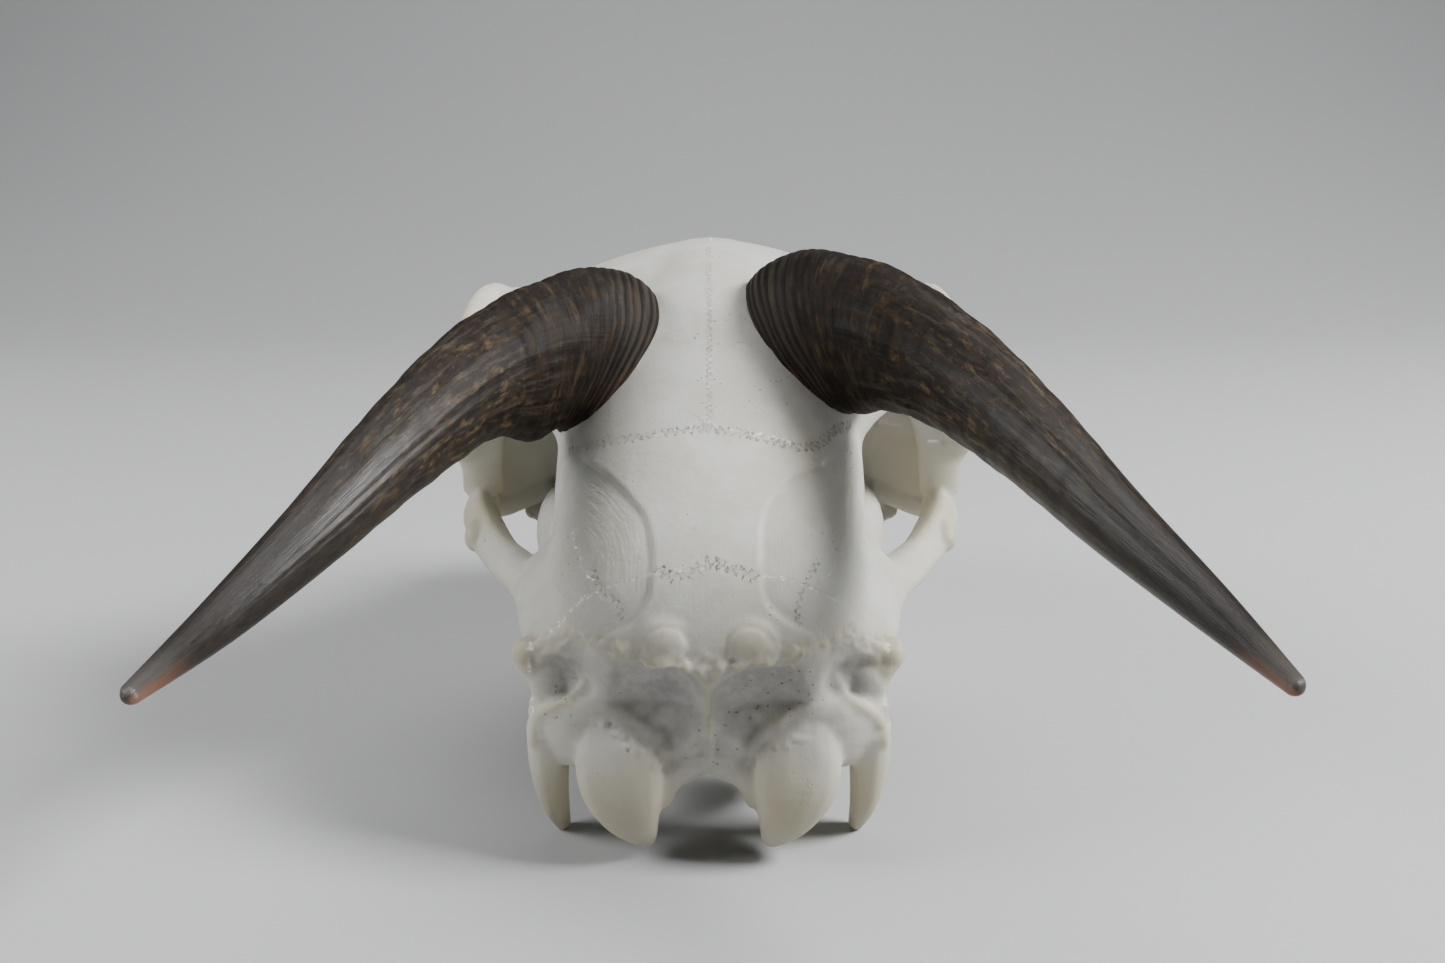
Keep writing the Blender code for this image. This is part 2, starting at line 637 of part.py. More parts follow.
def add_throat_wing(bm, side):
    """The thin upright wing beside the throat, with its hook."""
    wing = [(11.0, 86, 30), (10.8, 76, 31), (10.0, 67, 33), (9.2, 59, 39)]
    sweep(bm, mirrored(side, wing), [(1.7, 14.0), (1.5, 13.0), (1.4, 11.0), (1.7, 6.0)])
    hook = [(10.4, 70, 23), (11.0, 65, 17.6)]
    sweep(bm, mirrored(side, hook), [(1.3, 2.4), (0.9, 1.1)])


def add_nose_toe(bm, side):
    """The incisive bone: a flat toe, a rod back to the palate, and the wing up beside the nose."""
    toe = [(9.6, 158, 16.5), (9.9, 169, 13.4), (10.2, 179, 10.8), (8.4, 186, 9.4), (5.0, 189.2, 9.2)]
    sweep(bm, mirrored(side, toe), [(3.4, 2.6), (3.7, 2.4), (4.0, 2.2), (3.8, 2.1), (1.8, 1.6)])
    wing = [(15.8, 155, 56), (15.4, 162, 43), (14.4, 169, 31), (13.0, 177, 19), (11.2, 184, 11.5)]
    sizes = [(1.5, 3.4), (1.7, 4.0), (1.9, 4.4), (2.1, 4.4), (2.2, 2.4)]
    sweep(bm, mirrored(side, wing), sizes, upright=(0, -0.8, 0.6))
    rod = [(2.3, 154, 16.8), (2.1, 170, 13.2), (2.5, 185, 9.8)]
    sweep(bm, mirrored(side, rod), [(1.7, 1.9), (1.5, 1.7), (1.5, 1.4)])


def bone_form(coarse=COARSE_VOXEL, fine=FINE_VOXEL, smoothing=FINE_SMOOTHING):
    """The whole bone as one smooth closed surface, without its teeth."""
    bm = bmesh.new()
    add_vault(bm)
    add_face(bm)
    for side in (1, -1):
        add_tooth_rail(bm, side)
        add_cheek_root(bm, side)
        add_ear_shelf(bm, side)
        add_base(bm, side)
    for horn in HORNS:
        add_horn_core(bm, horn)
    body = fused(bm, "bone", coarse, COARSE_SMOOTHING)

    bm = bmesh.new()
    for side in (1, -1):
        orbit_space(bm, side)
        nape_space(bm, side)
    nose_space(bm)
    throat_space(bm)
    combined(body, fused(bm, "spaces", coarse, 2), "DIFFERENCE", "MANIFOLD")

    bm = bmesh.new()
    bm.from_mesh(body.data)
    bpy.data.objects.remove(body)
    for side in (1, -1):
        add_crest(bm, side)
        add_condyle(bm, side)
        add_process(bm, side)
        add_rim(bm, side)
        add_bar(bm, side)
        add_arch(bm, side)
        add_throat_wing(bm, side)
        add_nose_toe(bm, side)
    loft(bm, [roof_ring(station, 13) for station in smoothed(NASAL, 24)])
    body = fused(bm, "bone", fine, smoothing)

    bm = bmesh.new()
    brain_space(bm)
    return combined(body, fused(bm, "brain_space", fine, 2), "DIFFERENCE", "MANIFOLD")


# Teeth and horns


def add_tooth(bm, tooth, side):
    """A cheek tooth: a block with a fold between its lobes, worn level at the chewing plane."""
    rings = []
    for up, swell in ((19, 0.88), (8, 1.0), (1.6, 1.02), (0, 0.96)):
        ring = []
        for k in range(TOOTH_SIDES):
            q = 2 * math.pi * (k + 0.5) / TOOTH_SIDES
            c, s = math.cos(q), math.sin(q)
            on = math.copysign(abs(s) ** 0.6, s)
            fold = 1 - TOOTH_FOLD * (0.5 - 0.5 * math.cos(math.pi * tooth.lobes * (on + 1)))
            out = math.copysign(abs(c) ** 0.5, c) * (fold if tooth.lobes > 1 else 1)
            across = tooth.across + 0.5 * tooth.width * swell * out
            ring.append(at(side * across, tooth.ahead + 0.51 * tooth.length * swell * on, up))
        rings.append(ring)
    loft(bm, rings)


def horn_rings(horn, steps=22, sides=20):
    """Oval rings along a horn, with a blunt keel on the side that the oval leans to."""
    points = [at(*point) for point in mirrored(horn.side, horn.path)]
    rings = []
    for i, (centre, out, up) in enumerate(frames(points, steps, Vector((0, 0, 1)), HORN_ROOT)):
        t = HORN_ROOT + (1 - HORN_ROOT) * i / steps
        base = max(0.0, 1 - t / HORN_BASE)
        lean = math.radians(between(HORN_LEANS, t)) * -horn.side
        long_way = (up * math.cos(lean) - out * math.sin(lean)) * between(HORN_LONG, t) * MM
        short_way = (out * math.cos(lean) + up * math.sin(lean)) * between(HORN_SHORT, t) * MM
        ring = []
        for k in range(sides):
            q = 2 * math.pi * k / sides
            c, s = math.cos(q), math.sin(q)
            keel = 1 + HORN_KEEL * max(0.0, c) ** 8
            flare = 1 + BASE_FLARE * base * max(0.0, -c) ** 2
            flat = 1 - BASE_FLAT * base * max(0.0, -horn.side * s)
            ring.append(centre + long_way * keel * flare * c + short_way * flat * s)
        rings.append(ring)
    return rings


# Parting the bone along its sutures


def region_solid(region, side, grow):
    """A region's outline as one solid, a little larger or smaller than it is."""
    solids = []
    for prism in region.prisms:
        bm = bmesh.new()
        side_prism(bm, prism, side, grow)
        solids.append(object_from(bm, "region"))
    whole = solids[0]
    for extra in solids[1:]:
        combined(whole, extra, "UNION")
    return whole


def parted(rest):
    """The bone cut into its named bones, with a thin gap along each suture."""
    bones = []
    for region in REGIONS:
        sides = (("_left", 1), ("_right", -1)) if region.paired else (("", 1),)
        for suffix, side in sides:
            bone = copied(rest, region.name + suffix)
            combined(bone, region_solid(region, side, -GAP / 2), "INTERSECT", "MANIFOLD")
            bones.append(largest_only(bone))
            combined(rest, region_solid(region, side, GAP / 2), "DIFFERENCE", "MANIFOLD")
    rest.name = "sphenoid"
    bones.append(largest_only(rest))
    return bones


# The whole skull


def thinned(obj, triangles):
    """The object's largest surface with fewer triangles."""
    largest_only(obj)
    thin = obj.modifiers.new("thin", "DECIMATE")
    thin.ratio = triangles / len(obj.data.polygons)
    return applied(obj)


def with_teeth(bone):
    """The bone with both rows of cheek teeth joined on by one union."""
    row = bpy.data.collections.new("teeth")
    bpy.context.scene.collection.children.link(row)
    for tooth in CHEEK_TEETH:
        for side in (1, -1):
            bm = bmesh.new()
            add_tooth(bm, tooth, side)
            obj = object_from(bm, "tooth")
            bpy.context.scene.collection.objects.unlink(obj)
            row.objects.link(obj)
    join = bone.modifiers.new("teeth", "BOOLEAN")
    join.operation = "UNION"
    join.solver = "MANIFOLD"
    join.operand_type = "COLLECTION"
    join.collection = row
    applied(bone)
    for obj in list(row.objects):
        bpy.data.objects.remove(obj)
    bpy.data.collections.remove(row)
    return bone


def horn_sheath(horn, bone):
    """A horn's solid sheath, its base cut to lie on the forehead."""
    bm = bmesh.new()
    loft(bm, horn_rings(horn))
    sheath = object_from(bm, horn.name)
    swollen = copied(bone, "swollen")
    swell = swollen.modifiers.new("swell", "DISPLACE")
    swell.strength = GAP * MM
    swell.mid_level = 0.0
    applied(swollen)
    return largest_only(combined(sheath, swollen, "DIFFERENCE", "MANIFOLD"))


def resting_pitch(points):
    """How far the nose rises when the skull leans back on its last teeth and rear processes."""
    last = CHEEK_TEETH[-1]
    heel = max(
        (point for point in points if point.z < CHEWING_LEVEL * MM),
        key=lambda point: point.y,
    )
    behind = -(last.ahead - last.length) * MM
    return min(math.atan2(p.z - heel.z, p.y - heel.y) for p in points if p.y > behind)


def material(finish):
    mat = bpy.data.materials.new(finish.name)
    mat.use_nodes = True
    shader = mat.node_tree.nodes["Principled BSDF"]
    shader.inputs["Base Color"].default_value = (*finish.colour, 1)
    shader.inputs["Roughness"].default_value = finish.roughness
    shader.inputs["Metallic"].default_value = 0.0
    return mat


def dress(obj, finish, collection, parent):
    """Gives a node its own material, smooth shading, its place in the collection and its parent."""
    obj.data.name = obj.name
    obj.data.materials.clear()
    obj.data.materials.append(material(finish._replace(name=f"{finish.name}_{obj.name}")))
    obj.data.shade_smooth()
    obj.data.set_sharp_from_angle(angle=math.radians(40))
    for holder in list(obj.users_collection):
        holder.objects.unlink(obj)
    collection.objects.link(obj)
    obj.parent = parent


def main():
    clear_scene()
    bone = thinned(bone_form(), BONE_TRIANGLES)
    sheaths = [horn_sheath(horn, bone) for horn in HORNS]
    bones = parted(with_teeth(bone))

    points = [vert.co for obj in bones + sheaths for vert in obj.data.vertices]
    tilt = Matrix.Rotation(-resting_pitch(points), 3, "X")
    points = [tilt @ point for point in points]
    lows = [min(point[axis] for point in points) for axis in range(3)]
    highs = [max(point[axis] for point in points) for axis in range(3)]
    stand = bpy.data.objects.new("goat_skull", None)
    stand.rotation_euler = tilt.to_euler()
    stand.location = (-(lows[0] + highs[0]) / 2, -(lows[1] + highs[1]) / 2, -lows[2])

    collection = bpy.data.collections.new("goat_skull")
    bpy.context.scene.collection.children.link(collection)
    collection.objects.link(stand)
    for obj in bones:
        dress(obj, BONE, collection, stand)
    for obj in sheaths:
        dress(obj, HORN, collection, stand)


if __name__ == "__main__":
    main()
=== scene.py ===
"""The looks of a goat's skull: bleached bone parted along its sutures, worn cheek teeth and two dark
ringed horn sheaths.

The bone is fused whole from lofts, bars and rounded masses and carved. It is then worked over like a
clay model: lines seen in the photograph are cast onto it from the camera, and are raised or cut into
the surface. Cuts along the sutures part it into its named bones.

Points are millimetres in the skull's own frame: across (to the animal's left), ahead of the condyles'
rear, and up from the chewing plane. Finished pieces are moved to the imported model's frame.
"""

import logging
import math
from collections.abc import Sequence
from dataclasses import dataclass
from enum import Enum

import bmesh
import bpy
import numpy as np
from mathutils import Euler, Matrix, Vector, noise
from mathutils.bvhtree import BVHTree
from mathutils.kdtree import KDTree


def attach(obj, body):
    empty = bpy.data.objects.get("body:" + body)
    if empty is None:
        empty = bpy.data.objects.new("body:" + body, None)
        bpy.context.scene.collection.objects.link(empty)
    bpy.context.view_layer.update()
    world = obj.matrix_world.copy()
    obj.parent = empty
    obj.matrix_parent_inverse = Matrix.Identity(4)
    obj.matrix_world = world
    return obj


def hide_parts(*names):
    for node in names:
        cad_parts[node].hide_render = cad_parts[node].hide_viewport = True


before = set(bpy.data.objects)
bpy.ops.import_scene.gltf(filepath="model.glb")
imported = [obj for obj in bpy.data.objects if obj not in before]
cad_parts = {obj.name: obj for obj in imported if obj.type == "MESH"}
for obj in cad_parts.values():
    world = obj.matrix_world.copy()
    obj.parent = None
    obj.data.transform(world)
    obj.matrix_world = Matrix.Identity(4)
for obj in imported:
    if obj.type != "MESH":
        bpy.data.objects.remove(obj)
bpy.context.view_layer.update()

log = logging.getLogger("goat_skull")

MM = 0.001
SLIVER = 0.02
Point = tuple[float, float, float]
Pair = tuple[float, float]
LEFT = 1
RIGHT = -1
BOTH = (LEFT, RIGHT)


# Frames and curves


@dataclass(frozen=True)
class Stance:
    """How the skull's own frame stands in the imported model's frame."""

    pitch: float = 15.556
    shift: Point = (1.30, 52.17, -21.68)

    def matrix(self) -> Matrix:
        """The move from the skull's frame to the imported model's, in metres."""
        turn = Matrix.Rotation(math.radians(-self.pitch), 4, "X")
        return Matrix.Translation(Vector(self.shift) * MM) @ turn


@dataclass(frozen=True)
class PhotoView:
    """The photograph's camera, in the skull's frame."""

    place: Point = (-2.6, -199.7, 222.5)
    look_down: float = 30.0
    focal: float = 1450.0
    width: float = 1445.0
    height: float = 963.0

    def matrix(self) -> Matrix:
        """The camera's place and aim in the skull's frame.

        Returns:
            The camera's matrix, in metres.
        """
        down = math.radians(self.look_down)
        ahead = Vector((0, -math.cos(down), -math.sin(down)))
        turn = ahead.to_track_quat("-Z", "Y").to_matrix().to_4x4()
        return Matrix.Translation(at(self.place)) @ turn

    def cast(self, pixel: Pair, tree: BVHTree) -> Vector | None:
        """Finds what a pixel of the photograph shows.

        Args:
            pixel: The column and row in the photograph.
            tree: The surface to look at.

        Returns:
            The point on the surface, or None where the pixel misses it.
        """
        across = (pixel[0] - self.width / 2) / self.focal
        down = (pixel[1] - self.height / 2) / self.focal
        place = self.matrix()
        ray = place.to_3x3() @ Vector((across, -down, -1))
        return tree.ray_cast(place.translation, ray.normalized())[0]


def at(point: Sequence[float]) -> Vector:
    """A point of the skull's frame, in metres."""
    return Vector((point[0], -point[1], point[2])) * MM


def between(values: Sequence[float] | Sequence[Vector], t: float) -> float | Vector:
    """A smooth value on the way through a row of values.

    Args:
        values: Numbers or points, evenly spread along the way.
        t: The share of the way, from 0 at the first value to 1 at the last.

    Returns:
        The number or point there.
    """
    spans = len(values) - 1
    k = min(int(t * spans), spans - 1)
    f = t * spans - k
    p = [values[max(0, min(spans, k + i))] for i in (-1, 0, 1, 2)]
    return 0.5 * (
        2 * p[1]
        + (p[2] - p[0]) * f
        + (2 * p[0] - 5 * p[1] + 4 * p[2] - p[3]) * f * f
        + (3 * p[1] - p[0] - 3 * p[2] + p[3]) * f * f * f
    )


def frames(
    points: Sequence[Vector], shares: Sequence[float], upright: Vector
) -> list[tuple[Vector, Vector, Vector]]:
    """Walks along a smooth path.

    Args:
        points: The path's points.
        shares: Where to stop, with the path's start at 0 and its end at 1.
        upright: The direction that a cross-section's height keeps to.

    Returns:
        Each stop's point, sideways direction and upright direction.
    """
    centres = [between(points, share) for share in shares]
    rows = []
    for i, centre in enumerate(centres):
        tangent = (centres[min(i + 1, len(centres) - 1)] - centres[max(i - 1, 0)]).normalized()
        up = (upright - tangent * tangent.dot(upright)).normalized()
        rows.append((centre, tangent.cross(up), up))
    return rows


def squared(value: float, power: float) -> float:
    """A power that keeps its sign, for squared ovals."""
    return math.copysign(abs(value) ** power, value)


# Scene objects


def object_from(bm: bmesh.types.BMesh, name: str) -> bpy.types.Object:
    """Moves a bmesh into an object whose faces point out.

    Args:
        bm: The mesh, which is used up.
        name: The object's name.

    Returns:
        The object, linked to the scene.
    """
    bmesh.ops.recalc_face_normals(bm, faces=bm.faces)
    mesh = bpy.data.meshes.new(name)
    bm.to_mesh(mesh)
    bm.free()
    obj = bpy.data.objects.new(name, mesh)
    bpy.context.scene.collection.objects.link(obj)
    return obj


def applied(obj: bpy.types.Object) -> bpy.types.Object:
    """Bakes an object's modifiers into its mesh.

    Args:
        obj: The object.

    Returns:
        The same object, with no modifiers.
    """
    graph = bpy.context.evaluated_depsgraph_get()
    mesh = bpy.data.meshes.new_from_object(obj.evaluated_get(graph))
    obj.modifiers.clear()
    obj.data = mesh
    return obj


def copied(obj: bpy.types.Object, name: str) -> bpy.types.Object:
    """Copies an object.

    Args:
        obj: The object.
        name: The copy's name.

    Returns:
        A copy with a mesh of its own.
    """
    twin = bpy.data.objects.new(name, obj.data.copy())
    bpy.context.scene.collection.objects.link(twin)
    return twin


def combined(obj: bpy.types.Object, tool: bpy.types.Object, operation: str) -> bpy.types.Object:
    """Joins, cuts or crops an object with another.

    Args:
        obj: The object to change.
        tool: The closed shape to change it with, which is removed.
        operation: UNION, DIFFERENCE or INTERSECT.

    Returns:
        The changed object.
    """
    step = obj.modifiers.new("combine", "BOOLEAN")
    step.operation = operation
    step.solver = "MANIFOLD"
    step.object = tool
    applied(obj)
    bpy.data.objects.remove(tool)
    return obj


def without_scraps(obj: bpy.types.Object) -> bpy.types.Object:
    """Clears an object of slivers and of all but one of its closed surfaces.

    Args:
        obj: The object to change.

    Returns:
        The same object, with only the surface that has the most faces.
    """
    bm = bmesh.new()
    bm.from_mesh(obj.data)
    bmesh.ops.dissolve_degenerate(bm, dist=SLIVER * MM, edges=bm.edges)
    bmesh.ops.triangulate(bm, faces=[face for face in bm.faces if len(face.verts) > 4])
    seen: set[bmesh.types.BMFace] = set()
    islands = []
    for seed in bm.faces:
        if seed in seen:
            continue
        seen.add(seed)
        stack = [seed]
        found = []
        while stack:
            face = stack.pop()
            found.append(face)
            for other in (other for edge in face.edges for other in edge.link_faces):
                if other not in seen:
                    seen.add(other)
                    stack.append(other)
        islands.append(found)
    islands.sort(key=len)
    loose = [face for island in islands[:-1] for face in island]
    bmesh.ops.delete(bm, geom=loose, context="FACES")
    bm.to_mesh(obj.data)
    bm.free()
    return obj


class Clay:
    """Overlapping closed shapes that are fused into one surface."""

    def __init__(self) -> None:
        """Starts empty."""
        self.bm = bmesh.new()

    def take(self, obj: bpy.types.Object) -> None:
        """Adds an object's mesh and removes the object."""
        self.bm.from_mesh(obj.data)
        bpy.data.objects.remove(obj)

    def loft(self, rings: Sequence[Sequence[Vector]]) -> None:
        """Adds a closed skin through rings of points, flat at both ends.

        Args:
            rings: The rings, each with the same number of points.
        """
        around = len(rings[0]) + 1
        grid = bmesh.ops.create_grid(self.bm, x_segments=around - 1, y_segments=len(rings) - 1, size=1)
        rows = [grid["verts"][i * around : (i + 1) * around] for i in range(len(rings))]
        for row, ring in zip(rows, rings):
            for vert, point in zip(row, [*ring, ring[0]]):
                vert.co = point
        bmesh.ops.weld_verts(self.bm, targetmap={row[-1]: row[0] for row in rows})
        for row in (rows[0], rows[-1]):
            bmesh.ops.contextual_create(self.bm, geom=row[:-1])

    def fused(self, name: str, voxel: float, smoothing: int) -> bpy.types.Object:
        """Fuses the shapes.

        Args:
            name: The object's name.
            voxel: The size of the surface's cells, in millimetres.
            smoothing: How many times the surface is smoothed.

        Returns:
            An object with one surface round all the shapes.
        """
        obj = object_from(self.bm, name)
        remesh = obj.modifiers.new("fuse", "REMESH")
        remesh.mode = "VOXEL"
        remesh.voxel_size = voxel * MM
        smooth = obj.modifiers.new("blend", "SMOOTH")
        smooth.factor = 0.5
        smooth.iterations = smoothing
        return applied(obj)


# Shapes that the bone is fused from


@dataclass(frozen=True)
class Section:
    """A cross-section of the head: a squared oval with its own top, bottom and widest level."""

    ahead: float
    half_width: float
    top: float
    bottom: float
    widest: float
    square: float

    def ring(self, sides: int = 40) -> list[Vector]:
        """The section's outline.

        Args:
            sides: How many points it has.

        Returns:
            The points, in metres.
        """
        points = []
        power = 2 / self.square
        for k in range(sides):
            turn = 2 * math.pi * k / sides
            c, s = math.cos(turn), math.sin(turn)
            reach = self.top - self.widest if s > 0 else self.widest - self.bottom
            up = self.widest + reach * squared(s, power)
            points.append(at((self.half_width * squared(c, power), self.ahead, up)))
        return points


# The fall of a plate from its middle: (share squared + softness) to a power, brought to run from 0 to 1
FALL_SOFTNESS = 0.032
FALL_POWER = 0.725
FALL_START = 0.0824
FALL_SPAN = 0.9408


@dataclass(frozen=True)
class PlateSection:
    """A cross-section of a plate: domed along the middle and falling to each edge."""

    ahead: float
    half_width: float
    middle_up: float
    edge_up: float
    thickness: float

    def ring(self, sides: int = 17) -> list[Vector]:
        """The section's outline.

        Args:
            sides: How many points its upper and its lower line have.

        Returns:
            The points, in metres.
        """
        upper = []
        lower = []
        for k in range(sides):
            s = 2 * k / (sides - 1) - 1
            fall = ((s * s + FALL_SOFTNESS) ** FALL_POWER - FALL_START) / FALL_SPAN
            up = self.middle_up - (self.middle_up - self.edge_up) * fall
            upper.append(at((self.half_width * s, self.ahead, up)))
            lower.append(at((self.half_width * s * 0.97, self.ahead, up - self.thickness)))
        return upper + lower[::-1]


@dataclass(frozen=True)
class Skin:
    """A closed skin through cross-sections."""

    sections: tuple
    steps: int

    def draw(self, clay: Clay, side: int) -> None:
        """Adds the skin to the clay.

        Args:
            clay: The clay.
            side: Not used, because a skin lies across the middle.
        """
        kind = type(self.sections[0])
        columns = list(zip(*(vars(section).values() for section in self.sections)))
        rows = [[between(column, i / self.steps) for column in columns] for i in range(self.steps + 1)]
        clay.loft([kind(*row).ring() for row in rows])


@dataclass(frozen=True)
class Bar:
    """A bar through points, its sizes half its width sideways and along upright."""

    path: tuple[Point, ...]
    sizes: tuple[Pair, ...]
    upright: Point = (0, 0, 1)
    steps: int = 16
    square: float = 2.0
    sides: int = 14
    least: float = 0.3

    def draw(self, clay: Clay, side: int) -> None:
        """Adds the bar to the clay.

        Args:
            clay: The clay.
            side: The animal's left (1) or right (-1).
        """
        power = 2 / self.square
        wide, tall = zip(*self.sizes)
        points = [at((side * across, ahead, up)) for across, ahead, up in self.path]
        upright = Vector((side * self.upright[0], *self.upright[1:]))
        turns = [2 * math.pi * k / self.sides for k in range(self.sides)]
        corners = [(squared(math.cos(q), power), squared(math.sin(q), power)) for q in turns]
        shares = [i / self.steps for i in range(self.steps + 1)]
        rings = []
        for share, (centre, out, up) in zip(shares, frames(points, shares, upright)):
            a = max(between(wide, share), self.least) * MM
            b = max(between(tall, share), self.least) * MM
            rings.append([centre + out * a * c + up * b * s for c, s in corners])
        clay.loft(rings)


@dataclass(frozen=True)
class Ball:
    """An ellipsoid by its radii across, ahead and up, turned about x, y and z in degrees."""

    centre: Point
    radii: Point
    turn: Point = (0, 0, 0)

    def draw(self, clay: Clay, side: int) -> None:
        """Adds the ball to the clay.

        Args:
            clay: The clay.
            side: The animal's left (1) or right (-1).
        """
        turn = (self.turn[0], side * self.turn[1], side * self.turn[2])
        spin = Euler([math.radians(angle) for angle in turn]).to_matrix().to_4x4()
        size = Matrix.Diagonal((*(radius * MM for radius in self.radii), 1))
        centre = at((side * self.centre[0], *self.centre[1:]))
        place = Matrix.Translation(centre) @ spin @ size
        bmesh.ops.create_uvsphere(clay.bm, u_segments=28, v_segments=18, radius=1, matrix=place)


@dataclass(frozen=True)
class Slab:
    """A side-view outline (ahead, up) carried across from an inner to an outer limit."""

    inner: float
    outer: float
    outline: tuple[Pair, ...]

    def draw(self, clay: Clay, side: int) -> None:
        """Adds the slab to the clay, on the animal's left (1) or right (-1)."""
        limits = (side * self.inner, side * self.outer)
        clay.loft([[at((limit, *corner)) for corner in self.outline] for limit in limits])


@dataclass(frozen=True)
class Form:
    """A part of the skull's form: what is massed up first, what is carved, and what is fused on last."""

    middle: tuple = ()
    masses: tuple = ()
    carved_middle: tuple = ()
    carved: tuple = ()
    fine_middle: tuple = ()
    fine: tuple = ()

    def draw(self, clay: Clay, middle: str, paired: str) -> None:
        """Adds one stage of the form to the clay.

        Args:
            clay: The clay.
            middle: The field with the shapes that are drawn once.
            paired: The field with the shapes that are drawn on both sides.
        """
        for shape in getattr(self, middle):
            shape.draw(clay, LEFT)
        for side in BOTH:
            for shape in getattr(self, paired):
                shape.draw(clay, side)


@dataclass(frozen=True)
class Braincase(Form):
    """The vault, the forehead's plate and the skull's floor."""

    middle: tuple = (
        Skin(
            (
                Section(9.0, 12.0, 63.5, 36.5, 54, 2.4),
                Section(11, 18.5, 68.5, 33.0, 54.5, 2.4),
                Section(13.5, 23.5, 72.5, 31.5, 55, 2.35),
                Section(17, 27.6, 77.0, 31.5, 56, 2.3),
                Section(21, 30.0, 80.4, 32.5, 57, 2.25),
                Section(26, 31.0, 83.8, 33.5, 58, 2.2),
                Section(34, 31.3, 88.2, 34.5, 61, 2.2),
                Section(44, 31.3, 92.8, 37.0, 65, 2.2),
                Section(56, 31.8, 97.4, 39.0, 70, 2.2),
                Section(68, 31.5, 101.8, 41.0, 75, 2.2),
                Section(80, 28.5, 106.2, 43.0, 79, 2.2),
                Section(92, 25.0, 108.2, 45.0, 80, 2.05),
                Section(102, 24.0, 109.2, 48.0, 80, 2.05),
                Section(112, 24.0, 106.4, 50.0, 78, 2.1),
                Section(120, 24.0, 102.4, 52.0, 76, 2.3),
            ),
            42,
        ),
        Skin(
            (
                PlateSection(54, 24.0, 95.4, 88.0, 10),
                PlateSection(62, 30.0, 97.8, 88.0, 10),
                PlateSection(72, 38.0, 101.0, 89.5, 9),
                PlateSection(82, 46.0, 104.4, 89.8, 8),
                PlateSection(92, 50.3, 107.0, 90.4, 7),
                PlateSection(101, 51.4, 108.4, 90.4, 7),
                PlateSection(110, 49.5, 106.8, 89.8, 8),
                PlateSection(118, 44.0, 102.8, 88.4, 9),
                PlateSection(127, 34.0, 96.2, 83.4, 11),
            ),
            28,
        ),
        Bar(
            ((0, 13, 31.5), (0, 24, 33.5), (0, 38, 36.5), (0, 52, 41), (0, 68, 46)),
            ((9, 3.4), (10.5, 4.4), (10, 4.8), (8, 5.0), (6, 5.0)),
        ),
    )
    masses: tuple = (
        Ball((5.4, 38, 32.4), (3.2, 5.0, 2.8)),
        Ball((19.4, 33, 32.6), (5.6, 10.0, 8.6), (0, 10, 16)),
        Bar(((17.8, 42, 30), (16.8, 47, 26.4)), ((1.8, 2.4), (0.9, 1.0))),
    )
    carved_middle: tuple = (
        Bar(((0, 62, 27), (0, 77, 31), (0, 90, 33)), ((7.5, 9.5), (7.0, 10.0), (4.6, 6.4))),
    )
    fine: tuple = (
        Bar(
            ((11.0, 86, 30), (10.8, 76, 31), (10.0, 67, 33), (9.2, 59, 39)),
            ((1.7, 14.0), (1.5, 13.0), (1.4, 11.0), (1.7, 6.0)),
        ),
        Bar(((10.4, 70, 23), (11.0, 65, 17.6)), ((1.3, 2.4), (0.9, 1.1))),
    )


